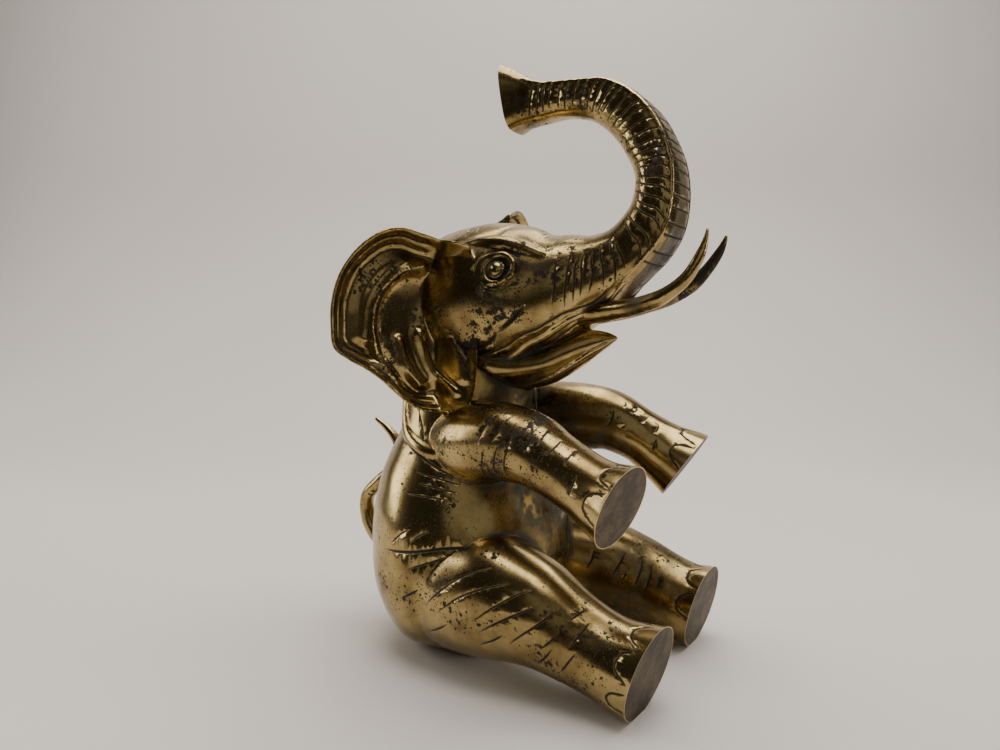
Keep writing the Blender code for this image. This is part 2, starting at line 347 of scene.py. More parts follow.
@dataclass
class Torso:
    """The rump, belly, chest and neck, with the tail, the shoulder straps and the creases."""

    stations: Sequence[Station] = (
        Station(0, 11, -8, 17, 17), Station(0, 12, 4, 33, 30), Station(0, 16, 15, 49, 42),
        Station(0, 22, 29, 62, 53), Station(0, 26, 47, 66.5, 60), Station(0, 28, 67, 65, 61),
        Station(0, 30, 88, 61, 59), Station(0, 31, 108, 54, 53), Station(0, 30, 132, 43, 42),
        Station(0, 28, 152, 38, 42), Station(0, 26, 175, 33, 38), Station(0, 24, 195, 32, 32),
    )
    tail: Sequence = (
        (0, 76, 44, 7.5), (0, 92, 46, 6.2), (0, 106, 54, 5.4), (0, 113.5, 66, 5.2),
        (0, 113.5, 80, 4.9), (0, 102, 92, 4.5), (0, 89, 103, 4.0), (0, 85, 115, 3.4),
        (0, 92, 126, 2.8), (0, 105.6, 135, 1.3),
    )
    folds: Sequence = (
        ((5.15, 202), (5.15, 182), (5.25, 158), (5.15, 134)),
        ((3.6, 174), (4.1, 154), (4.65, 134)), ((7.85, 206), (7.55, 180), (7.2, 154)),
    )
    creases: Sequence = (
        ((4.7, 182), (4.9, 168), (5.05, 158)), ((7.25, 184), (7.15, 166), (7.0, 150)),
        ((7.0, 180), (6.9, 165), (6.75, 150)), ((6.7, 186), (6.65, 170), (6.55, 156)),
        ((5.35, 194), (5.6, 187), (5.75, 180)), ((5.4, 180), (5.6, 174), (5.7, 168)),
        ((3.85, 188), (4.0, 181), (4.15, 174)), ((8.8, 200), (8.4, 192), (7.95, 184)),
        ((8.9, 172), (8.5, 167), (8.05, 162)),
    )
    strap: Sequence = (
        (9.3, 232), (8.7, 226), (8.15, 216), (7.85, 198), (7.7, 180), (7.65, 160), (7.7, 144),
    )
    strap_radius: float = 4.6

    def solids(self) -> list[Solid]:
        """The body, the tail and the raised strap behind each shoulder."""
        body = Loft(self.stations, sides=260)
        lines = [body.trace(mirrored(self.strap, side), 4) for side in Side]
        straps = [bead(line, self.strap_radius) for line in lines]
        return [body.solid(), rod(self.tail), *straps]

    def strokes(self) -> list[Stroke]:
        """The folds and creases of both sides."""
        body = Loft(self.stations)
        cut = []
        for side in Side:
            cut += [Stroke(body.trace(mirrored(m, side)), 1.2, -0.7) for m in self.folds]
            cut += [Stroke(body.trace(mirrored(m, side))) for m in self.creases]
        return cut


@dataclass
class Leg:
    """A leg, the sawn sole that ends it, and the strokes on its outer and inner sides.

    The strokes and nails are noted as they lie on the side that faces -X.
    """

    name: str
    side: Side
    stations: Sequence[Station]
    sole: Flat
    outer: Sequence
    inner: Sequence
    nails: Sequence

    def solids(self) -> list[Solid]:
        """The leg, past its sole."""
        return [Loft(self.stations).solid()]

    def strokes(self) -> list[Stroke]:
        """The creases of both sides and the rims of the nails."""
        limb = Loft(self.stations)
        other = Side(-self.side.value)
        cut = [Stroke(limb.trace(mirrored(m, self.side))) for m in self.outer]
        cut += [Stroke(limb.trace(mirrored(m, other))) for m in self.inner]
        for marks in self.nails:
            cut.append(Stroke(limb.trace(mirrored(marks, self.side)), 0.8, -0.5, 1.0, 0.1))
        return cut


# The strokes of the legs as (run, angle) marks, for the side that faces -X.
FRONT_OUTER = (
    ((2.4, 234), (2.3, 206), (2.15, 178)), ((2.75, 236), (2.7, 212), (2.6, 188)),
    ((2.4, 180), (2.2, 150), (2.0, 122)), ((2.8, 190), (2.65, 160), (2.5, 128)),
    ((3.1, 206), (3.05, 170), (2.95, 134)), ((3.5, 218), (3.55, 203), (3.55, 188)),
    ((3.6, 262), (3.7, 236), (3.8, 210)), ((4.15, 248), (4.2, 226), (4.15, 204)),
    ((4.65, 250), (4.7, 229), (4.75, 208)), ((5.35, 210), (5.4, 193), (5.45, 176)),
)
FRONT_INNER = (
    ((3.95, 216), (4.0, 198), (3.95, 180)), ((4.15, 244), (4.2, 237), (4.15, 230)),
    ((4.5, 250), (4.5, 238), (4.4, 226)), ((4.9, 242), (4.85, 230), (4.75, 218)),
    ((5.3, 242), (5.35, 229), (5.3, 216)), ((5.5, 212), (5.55, 198), (5.6, 184)),
    ((4.45, 200), (4.4, 194), (4.35, 188)),
)
FRONT_NAILS = (
    ((6.95, 208), (6.25, 198), (6.1, 182), (6.25, 168), (6.95, 160)),
    ((6.95, 256), (6.3, 248), (6.15, 234), (6.25, 222), (6.95, 214)),
    ((6.95, 306), (6.3, 297), (6.15, 283), (6.3, 270), (6.95, 262)),
    ((6.95, 354), (6.3, 344), (6.15, 330), (6.3, 318), (6.95, 311)),
)
HIND_OUTER = (
    ((1.5, 174), (2.2, 198), (2.85, 220)), ((2.3, 172), (2.8, 199), (3.2, 226)),
    ((2.4, 162), (3.0, 188), (3.4, 214)), ((2.4, 148), (2.75, 159), (3.0, 170)),
    ((3.1, 158), (3.5, 193), (3.75, 228)), ((3.75, 172), (3.9, 189), (4.0, 206)),
    ((3.75, 148), (3.9, 165), (4.0, 182)), ((1.2, 178), (1.85, 204), (2.45, 228)),
    ((0.35, 180), (0.75, 187), (1.1, 192)), ((0.2, 160), (0.6, 167), (0.95, 172)),
    ((1.1, 152), (1.45, 159), (1.75, 166)), ((4.2, 250), (4.15, 235), (4.05, 220)),
    ((4.45, 236), (4.4, 214), (4.3, 192)), ((4.5, 194), (4.4, 175), (4.3, 156)),
)
HIND_INNER = (
    ((2.95, 216), (2.95, 203), (2.85, 190)), ((3.8, 228), (3.75, 210), (3.65, 192)),
    ((4.25, 232), (4.35, 211), (4.35, 190)), ((4.55, 228), (4.65, 208), (4.65, 188)),
    ((4.9, 222), (4.95, 211), (4.95, 200)), ((4.0, 204), (4.0, 196), (3.95, 188)),
)
HIND_NAILS = (
    ((6.6, 178), (5.9, 172), (5.7, 162), (5.9, 152), (6.6, 146)),
    ((6.6, 226), (5.9, 222), (5.7, 208), (5.85, 198), (6.6, 188)),
    ((6.9, 272), (6.0, 264), (5.8, 252), (6.0, 240), (6.9, 232)),
    ((6.9, 318), (6.0, 310), (5.8, 297), (6.0, 285), (6.9, 278)),
    ((6.9, 362), (6.0, 354), (5.8, 342), (6.0, 330), (6.9, 323)),
)

LEGS = (
    Leg(
        "right_front_leg",
        Side.RIGHT,
        (
            Station(-22, 30, 124, 19, 22), Station(-30, 8, 128.5, 22, 25),
            Station(-37, -14, 133.5, 21.5, 22.5), Station(-42, -36, 132, 20, 20.5),
            Station(-46.5, -54, 125.5, 17.8, 18), Station(-50, -70, 118.5, 17, 17.3),
            Station(-52.5, -83, 113, 19, 19), Station(-54.2, -94.5, 109, 22.7, 22.5),
            Station(-55.5, -103, 106, 25, 25),
        ),
        Flat(-54.2, -94.5, 109.3, -7.7, 18.8),
        FRONT_OUTER,
        FRONT_INNER,
        FRONT_NAILS,
    ),
    Leg(
        "left_front_leg",
        Side.LEFT,
        (
            Station(22, 30, 130, 19, 22), Station(29, 8, 137, 22, 25),
            Station(34, -14, 141, 21.5, 22), Station(38, -36, 141, 20.5, 20.5),
            Station(42, -51, 138.5, 18.5, 18.8), Station(47, -67, 130, 17, 17),
            Station(51, -81, 120.5, 19, 19), Station(54, -93.5, 112.5, 22.7, 23),
            Station(56, -102, 107, 25, 25),
        ),
        Flat(54, -93.9, 112.3, 6, 35),
        FRONT_OUTER,
        FRONT_INNER,
        FRONT_NAILS,
    ),
    Leg(
        "right_hind_leg",
        Side.RIGHT,
        (
            Station(-22, 40, 38, 28, 30), Station(-33, 14, 43, 33, 36),
            Station(-40, -14, 45.5, 32, 35.5), Station(-43.5, -40, 42.5, 27, 30.5),
            Station(-45, -64, 34.5, 23, 24.5), Station(-45.3, -84, 27.8, 22.3, 22.5),
            Station(-45.4, -98, 24.3, 24, 24), Station(-45.5, -107, 23.2, 25.2, 25),
            Station(-45.7, -114, 22.6, 26, 26),
        ),
        Flat(-45.4, -106.9, 23.8, -5.6, 14.1),
        HIND_OUTER,
        HIND_INNER,
        HIND_NAILS,
    ),
    Leg(
        "left_hind_leg",
        Side.LEFT,
        (
            Station(24, 38, 38, 28, 30), Station(37, 12, 43, 34, 36),
            Station(45, -16, 45, 32, 34.5), Station(50, -40, 42.5, 28, 30.5),
            Station(53, -60, 38, 25.5, 27.5), Station(55, -80, 31, 23.5, 25),
            Station(56.3, -95, 26, 24, 24.5), Station(57, -105.5, 24.4, 25.4, 25.6),
            Station(57.5, -113, 23.6, 26, 26.5),
        ),
        Flat(57, -105.5, 25.6, -3.8, 12.3),
        HIND_OUTER,
        HIND_INNER,
        HIND_NAILS,
    ),
)


@dataclass
class Eye:
    """An eyeball with a ring of lid, a longer upper lid and the wrinkles below it."""

    side: Side
    place: tuple = (37.2, -12.8, 229.5)
    tilt: float = 20.0
    radius: float = 5.7

    def around(self, turns: Array, wide: float, high: float, out: float = 0.0) -> Array:
        """Points of an ellipse round the eye.

        At turn t a point is the eye's middle plus wide * cos(t) forward, high * sin(t) up the
        slope of the face and out along its facing.

        Args:
            turns: the turns, in degrees, from the front corner and up.
            wide: half the ellipse's length.
            high: half its height.
            out: how far it stands off the middle.

        Returns:
            The points, in millimetres.
        """
        t, tilt = np.radians(turns)[:, None], math.radians(self.tilt)
        facing = np.array([self.side.value * math.cos(tilt), 0, math.sin(tilt)])
        rise = np.array([-self.side.value * math.sin(tilt), 0, math.cos(tilt)])
        x, y, z = self.place
        middle = np.array([x * self.side.value, y, z]) + out * facing
        forward = np.array([0, -1.0, 0])
        return middle + wide * np.cos(t) * forward + high * np.sin(t) * rise

    def lid(self, first: float, last: float, wide: float, high: float, thick: float) -> Solid:
        """A lid: a rod round part of the eye, thinning to its ends."""
        turns = np.linspace(first, last, 13)
        swell = thick * (0.35 + 0.65 * np.sin(np.linspace(0, math.pi, 13)))
        return rod(np.hstack([self.around(turns, wide, high), swell[:, None]]).tolist(), 12)

    def ring(self, first: float, last: float, wide: float, high: float) -> Trace:
        """A line round part of the eye."""
        turns = np.linspace(first, last, 25)
        line = self.around(turns, wide, high)
        facing = self.around(np.zeros(1), 0, 0, 1) - self.around(np.zeros(1), 0, 0)
        return Trace(line, np.repeat(facing, len(line), 0))

    def solids(self) -> list[Solid]:
        """The ball and the lids."""
        return [
            ball(self.around(np.zeros(1), 0, 0, -1.6)[0], self.radius),
            self.lid(165, 375, 8.6, 7.8, 1.7),
            self.lid(-38, 212, 10.6, 9.2, 2.3),
        ]

    def strokes(self) -> list[Stroke]:
        """The dark ring round the ball, the pupil and the wrinkles."""
        return [
            Stroke(self.ring(0, 360, 6.4, 6.0), 1.2, -1.0, 1.0, 0.01),
            Stroke(self.ring(-30, 205, 8.9, 7.7), 0.7, -0.4),
            Stroke(self.ring(-25, 200, 13.2, 11.9), 1.0, -0.6),
            Stroke(self.ring(-150, -30, 10.9, 10.5), 0.7, -0.5),
            Stroke(self.ring(-145, -35, 12.9, 12.6), 0.7, -0.5),
            Stroke(self.ring(-138, -42, 14.9, 14.8), 0.6, -0.4),
            Stroke(self.ring(0, 360, 2.3, 2.3), 0.6, -0.35, 0.8, 0.01),
        ]


@dataclass
class Head:
    """The skull and the raised trunk in one loft, with the jaw, tusks, brows and eyes."""

    stations: Sequence[Station] = (
        Station(0, 68, 207, 12, 14), Station(0, 58, 209, 29, 31), Station(0, 40, 212, 39, 42),
        Station(0, 20, 214, 43, 45.5), Station(0, 0, 215.5, 43, 45.5),
        Station(0, -17, 218, 39, 41), Station(0, -34, 221, 33, 33, 2.2),
        Station(0, -49, 226, 28, 26, 2.4), Station(0, -63, 231, 24.5, 20.5, 3.0),
        Station(0, -77, 239.5, 21.5, 16.5, 4.0), Station(0, -88.3, 252.2, 19.5, 15.2, 5.0),
        Station(0, -93.1, 266, 18, 13.5, 5.0), Station(0, -93.3, 279.8, 17, 12.7, 5.0),
        Station(0, -89.7, 291.6, 16, 12.8, 5.0), Station(0, -82.8, 304.4, 15, 13.1, 5.0),
        Station(0, -73, 315, 14, 12.8, 5.0), Station(0, -62, 322.2, 13, 11.6, 5.0),
        Station(0, -49.7, 325.6, 12.2, 10.2, 4.0), Station(0, -36, 327.2, 11.6, 10.2, 3.5, 2.2),
        Station(0, -24, 327.6, 11.6, 11.2, 3.5, 2.6), Station(0, -14, 329, 12.8, 13.8, 3.5, 3.0),
        Station(0, -6, 330, 14.6, 17.6, 3.5, 3.5), Station(0, 5, 331, 17.5, 22.8, 3.5, 3.5),
    )
    jaw: Sequence[Station] = (
        Station(0, 14, 180, 30, 20), Station(0, -6, 175, 26, 15.5), Station(0, -24, 176, 21, 13),
        Station(0, -40, 182.5, 15.5, 11), Station(0, -53, 188, 10.5, 8.3),
        Station(0, -63, 190.8, 5.5, 4.6), Station(0, -70, 191.6, 1.2, 1.0),
    )
    tusks: Sequence = (
        (
            (-11, -52, 205, 6.6), (-14, -68, 206.6, 5.8), (-18, -81.2, 207.8, 5.0),
            (-21, -93.6, 210.4, 4.4), (-23, -105, 214.6, 3.9), (-23, -114.5, 221.8, 3.4),
            (-22, -120.4, 230.6, 2.8), (-20.6, -123.8, 239.4, 1.9), (-19, -125, 247.5, 0.8),
        ),
        (
            (9, -54, 206, 6.6), (12.5, -70, 208, 5.8), (16, -83.3, 211, 5.0),
            (19.5, -94, 214.6, 4.4), (22, -104.5, 220.4, 3.9), (22, -113.4, 229, 3.4),
            (21, -119.8, 237.4, 2.6), (19.6, -123.2, 243, 1.7), (19, -125, 247.5, 0.8),
        ),
    )
    brow: Sequence = (
        (27, 16, 244.5, 3.6), (28.6, 3, 245, 4.6), (28.2, -10, 244.6, 5.0),
        (26.2, -23, 241.6, 4.8), (23.6, -36, 236.5, 3.6),
    )
    trunk_mouth: Flat = Flat(0, -2.4, 331.4, 180, 8)
    base_grooves: Sequence = (
        ((7.05, 214), (6.65, 176), (6.3, 156)), ((7.55, 226), (7.25, 188), (6.9, 166), (6.6, 146)),
        ((7.7, 202), (7.35, 174), (6.95, 146)), ((8.0, 210), (7.6, 172), (7.3, 150)),
        ((8.3, 202), (8.0, 174), (7.6, 148)), ((8.65, 206), (8.4, 178), (8.05, 144)),
        ((9.05, 206), (8.75, 174), (8.4, 138)), ((9.15, 192), (9.0, 176), (8.85, 152)),
    )
    lip: Sequence = (
        (3.05, 128), (3.7, 120), (4.15, 122), (4.65, 124), (5.2, 128), (5.7, 128), (6.05, 130),
        (6.5, 130), (7.05, 124), (7.55, 118), (8.1, 122), (8.7, 128),
    )
    cheek: Sequence = (
        ((3.05, 150), (3.3, 144), (3.65, 140), (4.05, 142), (4.35, 146), (4.5, 150)),
        ((4.55, 150), (4.95, 154), (5.35, 160), (5.6, 166)),
    )
    brow_folds: Sequence = (
        ((2.55, 224), (3.3, 226), (4.2, 228), (4.7, 234), (4.9, 250), (5.15, 266)),
        ((4.85, 216), (5.15, 214), (5.55, 206)),
    )
    hatch: Sequence = (
        ((6.25, 262), (6.1, 250)), ((6.45, 256), (6.3, 244)), ((6.7, 268), (6.55, 254)),
        ((6.95, 242), (6.8, 230)), ((5.9, 272), (5.8, 260)), ((5.5, 276), (5.4, 264)),
        ((7.0, 262), (6.9, 250)), ((2.45, 240), (2.5, 256)), ((3.05, 232), (3.0, 252)),
        ((3.35, 232), (3.4, 250)), ((3.7, 236), (3.7, 252)), ((2.8, 244), (2.75, 258)),
    )
    jaw_edge: Sequence = ((1.6, 128), (3, 132), (4.2, 138), (5.3, 140))
    lip_radius: float = 2.3
    ridge_radius: float = 1.5
    ridge_angle: float = 136.0
    first_ring: float = 9.3
    last_ring: float = 19.5
    ring_step: float = 0.37

    def solids(self) -> list[Solid]:
        """The skull and trunk, jaw, tusks, brows and eyes."""
        made = [Loft(self.stations, sides=220).solid(), Loft(self.jaw, sides=120).solid()]
        made += [rod(rows) for rows in self.tusks]
        skull = Loft(self.stations)
        for side in Side:
            made.append(bead(skull.trace(mirrored(self.lip, side)), self.lip_radius))
            made.append(bead(skull.trace(mirrored(self.ridge(), side), 3), self.ridge_radius))
            made.append(rod([(x * side.value, y, z, r) for x, y, z, r in self.brow]))
            made += Eye(side).solids()
        return made

    def ridge(self) -> list[Mark]:
        """The marks of the ridge along the trunk, noted on the side that faces -X."""
        return [(run, self.ridge_angle) for run in np.arange(8.4, 20.6, 0.5)]

    def ring_marks(self, rng: np.random.Generator) -> tuple[list, list]:
        """The grooves along the raised trunk.

        Side grooves slant from the inner face up to the ridge. Ribs cross the outer face.

        Args:
            rng: where the small differences between them come from.

        Returns:
            The marks of the side grooves and of the ribs.
        """
        grooves, ribs = [], []
        for run in np.arange(self.first_ring, self.last_ring, self.ring_step):
            slant = np.interp(run, (9, 12, 16, 19.5), (0.55, 0.42, 0.22, 0.08))
            inner = 222 + rng.uniform(-9, 9)
            end = run + rng.uniform(-0.05, 0.05)
            middle = (inner + self.ridge_angle) / 2
            grooves.append(((end + slant, inner), (end + 0.55 * slant, middle), (end, 141)))
            ribs.append(((end, 131), (end, 90), (end, 49)))
        return grooves, ribs

    def strokes(self, rng: np.random.Generator) -> list[Stroke]:
        """The ridges, grooves, folds and hatching of the head and trunk, and a band of painted
        shade over the trunk's outer face.

        Each group of marks has its strokes' width, height, darkness and share of the ends.

        Args:
            rng: where the small differences between the grooves come from.

        Returns:
            The strokes.
        """
        skull, jaw = Loft(self.stations), Loft(self.jaw)
        grooves, ribs = self.ring_marks(rng)
        cut = [Stroke(skull.trace(m), 0.9, -0.5, 0.8, 0.08) for m in ribs]
        # Painted shade: a broad band with no height darkens the trunk's outer face.
        painted_shade_band = [(run, 90.0) for run in np.arange(8.6, 19.2, 0.5)]
        cut.append(Stroke(skull.trace(painted_shade_band, 3), 15.0, 0.0, 0.34, 0.05))
        above_lip, below_lip = ([(run, at + turn) for run, at in self.lip] for turn in (12, -12))
        groups = (
            (self.base_grooves, (0.8, -0.5)),
            (grooves, (0.75, -0.42, 0.9, 0.2)),
            ((above_lip,), (1.2, -0.5, 0.7, 0.15)),
            ((below_lip,), (1.2, -0.5, 1.0, 0.15)),
            ((self.lip,), (1.6, 0.3, 0.0, 0.1)),
            (self.cheek, (1.8, -1.1, 0.8)),
            (self.brow_folds, (2.4, -0.5, 0.45)),
            (self.hatch, (0.6, -0.35, 0.8)),
        )
        for side in Side:
            for marks, shape in groups:
                cut += [Stroke(skull.trace(mirrored(m, side)), *shape) for m in marks]
            crest = skull.trace(mirrored(self.ridge(), side), 3)
            edge = jaw.trace(mirrored(self.jaw_edge, side))
            cut += [Stroke(crest, 1.5, 0.35, 0.0, 0.03), Stroke(edge, 1.6, 1.3, 0.0, 0.2)]
            cut += Eye(side).strokes()
        return cut


@dataclass
class Ear:
    """An ear: a bowl-shaped shell with a rolled rim, an arched ridge and folds at its foot.

    It lies in an upright plane that leaves the head at its root and sweeps back, by the first of
    the sweeps on the right and by the second on the left, where it also sits higher by lift. Places
    on it are (distance out from the root, height), and each fold is its height, its half-width and
    the places that it runs through. At share s of the way from the heart to the outline, and e
    millimetres from the outline, the front stands forward by
    -bowl (1 - s^2) + curl c^2 + 1.5 exp(-((e - 2.5) / 1.5)^2) + exp(-((e - 6.6) / 1.3)^2)
    - valley exp(-((e - 11) / 4)^2) + swell exp(-((e - 19) / 4.5)^2), plus its folds, where c runs
    from 0 at s = 0.8 to 1 at the outline. Inside the root, d millimetres in, it wraps the neck by
    wrap (1 - exp(-d / 10)).
    """

    side: Side
    root: tuple = (36, 30)
    sweeps: tuple = (35.0, 10.0)
    heart: tuple = (18, 204)
    wall: float = 4.6
    bowl: float = 7.0
    curl: float = 8.0
    valley: float = 1.6
    swell: float = 1.4
    lift: float = 23.0
    wrap: float = 22.0
    grown: float = 1.3
    outline: Sequence = (
        (-12, 243), (3, 248), (12, 250.5), (21, 252.8), (31, 251.5), (41, 246), (50.5, 237),
        (57.5, 226), (61.5, 212), (62, 199), (60.8, 187), (53, 180.5), (43, 175), (34, 168.5),
        (27, 161.5), (20, 155.5), (11, 150.5), (1, 149.5), (-6, 150.5), (-11, 154), (-14, 162),
        (-15, 175), (-15, 190), (-15, 222),
    )
    folds: Sequence = (
        (4.2, 3.0, (
            (7, 232), (20, 230), (29.5, 222), (35.5, 212), (37.8, 200), (37, 188), (31.8, 174.5),
            (25, 166),
        )),
        (3.6, 2.8, ((21.5, 190), (19.5, 182), (16.6, 175), (10, 163.6))),
        (3.6, 3.0, ((9, 194), (6, 182), (2, 171), (-7, 160))),
        (3.4, 3.2, ((1.5, 205), (-4, 193), (-9, 180), (-10, 168))),
    )

    @property
    def sweep(self) -> float:
        """How far this ear sweeps back, in radians."""
        return math.radians(self.sweeps[self.side is Side.LEFT])

    def rim(self) -> Array:
        """The closed outline as a fine line, grown by what smoothing takes off."""
        line = smooth_path([*self.outline, self.outline[0]], 8)
        return line + self.grown * unit(line - np.array(self.heart))

    def forward(self, flat: Array) -> tuple[Array, Array]:
        """How far the middle of the wall stands forward, and how far a place is from the rim.

        Args:
            flat: places on the ear.

        Returns:
            The two distances, in millimetres.
        """
        rim, heart = self.rim(), np.array(self.heart)
        ray = flat - heart
        turn = np.arctan2(ray[..., 1], ray[..., 0])
        edge = rim - heart
        around = np.arctan2(edge[:, 1], edge[:, 0])
        order = np.argsort(around)
        reach = np.interp(turn, around[order], np.hypot(*edge.T)[order], period=2 * math.pi)
        size = np.hypot(ray[..., 0], ray[..., 1])
        share, left = size / reach, reach - size
        free = np.clip((flat[..., 0] + 4) / 10, 0, 1)
        rise = -self.bowl * (1 - share**2) + self.curl * np.clip((share - 0.8) / 0.2, 0, 1) ** 2
        rise = rise + self.wrap * (1 - np.exp(np.minimum(flat[..., 0], 0) / 10))
        rolls = ((1.5, 2.5, 1.5), (1.0, 6.6, 1.3), (-self.valley, 11, 4), (self.swell, 19, 4.5))
        for height, middle, width in rolls:
            rise = rise + free * height * np.exp(-(((left - middle) / width) ** 2))
        for height, half_width, line in self.folds:
            fine = smooth_path(line, 4)
            offset = away_from_line(flat.reshape(-1, 2), fine)[0]
            away = np.linalg.norm(offset, axis=-1).reshape(share.shape)
            rise = rise + height * np.exp(-((away / half_width) ** 2))
        return rise, left

    def place(self, flat: Array, forward: Array) -> Array:
        """Places on the ear, this far forward, as points in millimetres."""
        out, up = flat[..., 0], flat[..., 1]
        lift = self.lift * np.clip((out + 5) / 9, 0, 1) if self.side is Side.LEFT else 0
        along, ahead = math.cos(self.sweep), math.sin(self.sweep)
        x = self.side.value * (self.root[0] + out * along + forward * ahead)
        y = self.root[1] + out * ahead - forward * along
        return np.stack([x, y, up + lift], -1)

    def facing(self) -> Array:
        """The way that the front of the ear faces."""
        return np.array([self.side.value * math.sin(self.sweep), -math.cos(self.sweep), 0])

    def solids(self) -> list[Solid]:
        """The shell: rings from the heart over the rounded rim to the heart's back."""
        rim, heart = self.rim()[:-1], np.array(self.heart)
        shares = np.append(np.linspace(0.03, 0.95, 70), np.linspace(0.955, 1, 10))
        flat = heart + shares[:, None, None] * (rim - heart)
        middle, left = self.forward(flat)
        half = self.wall / 2
        rounded = half * np.sqrt(np.clip(1 - (1 - np.clip(left / half, 0, 1)) ** 2, 0, 1))
        front = self.place(flat, middle + rounded)
        back = self.place(flat, middle - rounded)[::-1][1:]
        return [closed_tube(np.vstack([front, back]))]

    def line(self, marks: Sequence, steps: int = 6) -> Trace:
        """A smooth line over the front of the ear, through (out, height) marks."""
        flat = smooth_path(marks, steps)
        line = self.place(flat, self.forward(flat)[0] + self.wall / 2)
        return Trace(line, np.repeat(self.facing()[None], len(line), 0))

    def beside_rim(self, inset: float) -> Trace:
        """A line beside the free edge, this far in from it."""
        free = smooth_path(self.outline[1:18], 4)
        inward = unit(np.array(self.heart) - free)
        return self.line(free + (inset - self.grown) * inward, 1)

    def strokes(self) -> list[Stroke]:
        """The rolls of the rim, the crest of the arch and the lines between the folds."""
        crest = self.folds[0][2]
        cut = [
            Stroke(self.beside_rim(4.6), 0.9, -0.4, 0.9, 0.05),
            Stroke(self.beside_rim(8.6), 0.9, -0.3, 0.7, 0.05),
            Stroke(self.line(crest), 1.1, 0.9, 0.0, 0.1),
        ]
        for _, half_width, line in self.folds:
            beside = [(out - half_width * 1.1, up) for out, up in line]
            cut.append(Stroke(self.line(beside), 1.0, -0.6, 0.8))
        return cut


class Zone(NamedTuple):
    """A ball of space that stains the brass, lightens it or paints shade on it: its middle, reach
    and strength.
    """

    x: float
    y: float
    z: float
    reach: float
    strength: float


# Where spots of tarnish gather.
STAINS = (
    Zone(-62, 40, 205, 46, 0.85), Zone(62, 40, 225, 46, 0.85), Zone(-40, 10, 200, 30, 1.0),
    Zone(40, 10, 200, 30, 1.0), Zone(22, -104, 220, 18, 1.5), Zone(21, -120, 238, 16, 1.4),
    Zone(-38, -8, 208, 24, 1.0), Zone(38, -8, 208, 24, 1.0), Zone(-32, -30, 228, 24, 0.95),
    Zone(32, -30, 228, 24, 0.95), Zone(-20, -66, 236, 26, 0.85), Zone(20, -66, 236, 26, 0.85),
    Zone(-16, -88, 285, 26, 0.95), Zone(10, -88, 300, 26, 0.8), Zone(0, -60, 325, 20, 1.0),
    Zone(0, -15, 330, 22, 0.95), Zone(-52, -38, 135, 38, 1.0), Zone(52, -40, 142, 36, 0.9),
    Zone(-55, -86, 115, 20, 0.7), Zone(-58, 15, 118, 36, 0.8), Zone(-66, 30, 60, 40, 0.65),
    Zone(-62, -10, 60, 36, 0.75), Zone(-55, -70, 40, 34, 0.7), Zone(60, -75, 48, 34, 0.85),
    Zone(0, 75, 110, 60, 0.7), Zone(0, 60, 210, 34, 0.8),
)

# Where the brass is made lighter: its film, grime and painted shade are taken off.
CLEAN = (
    Zone(-66, 44, 200, 36, 1.3), Zone(66, 44, 220, 36, 1.3), Zone(-44, 30, 168, 24, 1.1),
)

# Painted shade: zones under the jaw, on the chest, belly and neck, on the far legs, tusks, eyes and
# trunk, darkened with the film and grime colours.
PAINTED_SHADE = (
    Zone(-37.5, -13, 229.5, 5.5, 0.9), Zone(37.5, -13, 229.5, 5.5, 0.9),
    Zone(-20, -92, 210, 15, 1.1), Zone(-23, -116, 226, 17, 0.9), Zone(5, -30, 112, 48, 1.0),
    Zone(0, -15, 165, 34, 0.8), Zone(0, -10, 70, 40, 0.7), Zone(55, -60, 35, 44, 0.8),
    Zone(48, -50, 132, 36, 0.55), Zone(18, -105, 222, 34, 1.1), Zone(-18, -90, 210, 24, 0.6),
    Zone(0, -12, 322, 20, 0.6), Zone(0, 40, 190, 34, 0.7),
)


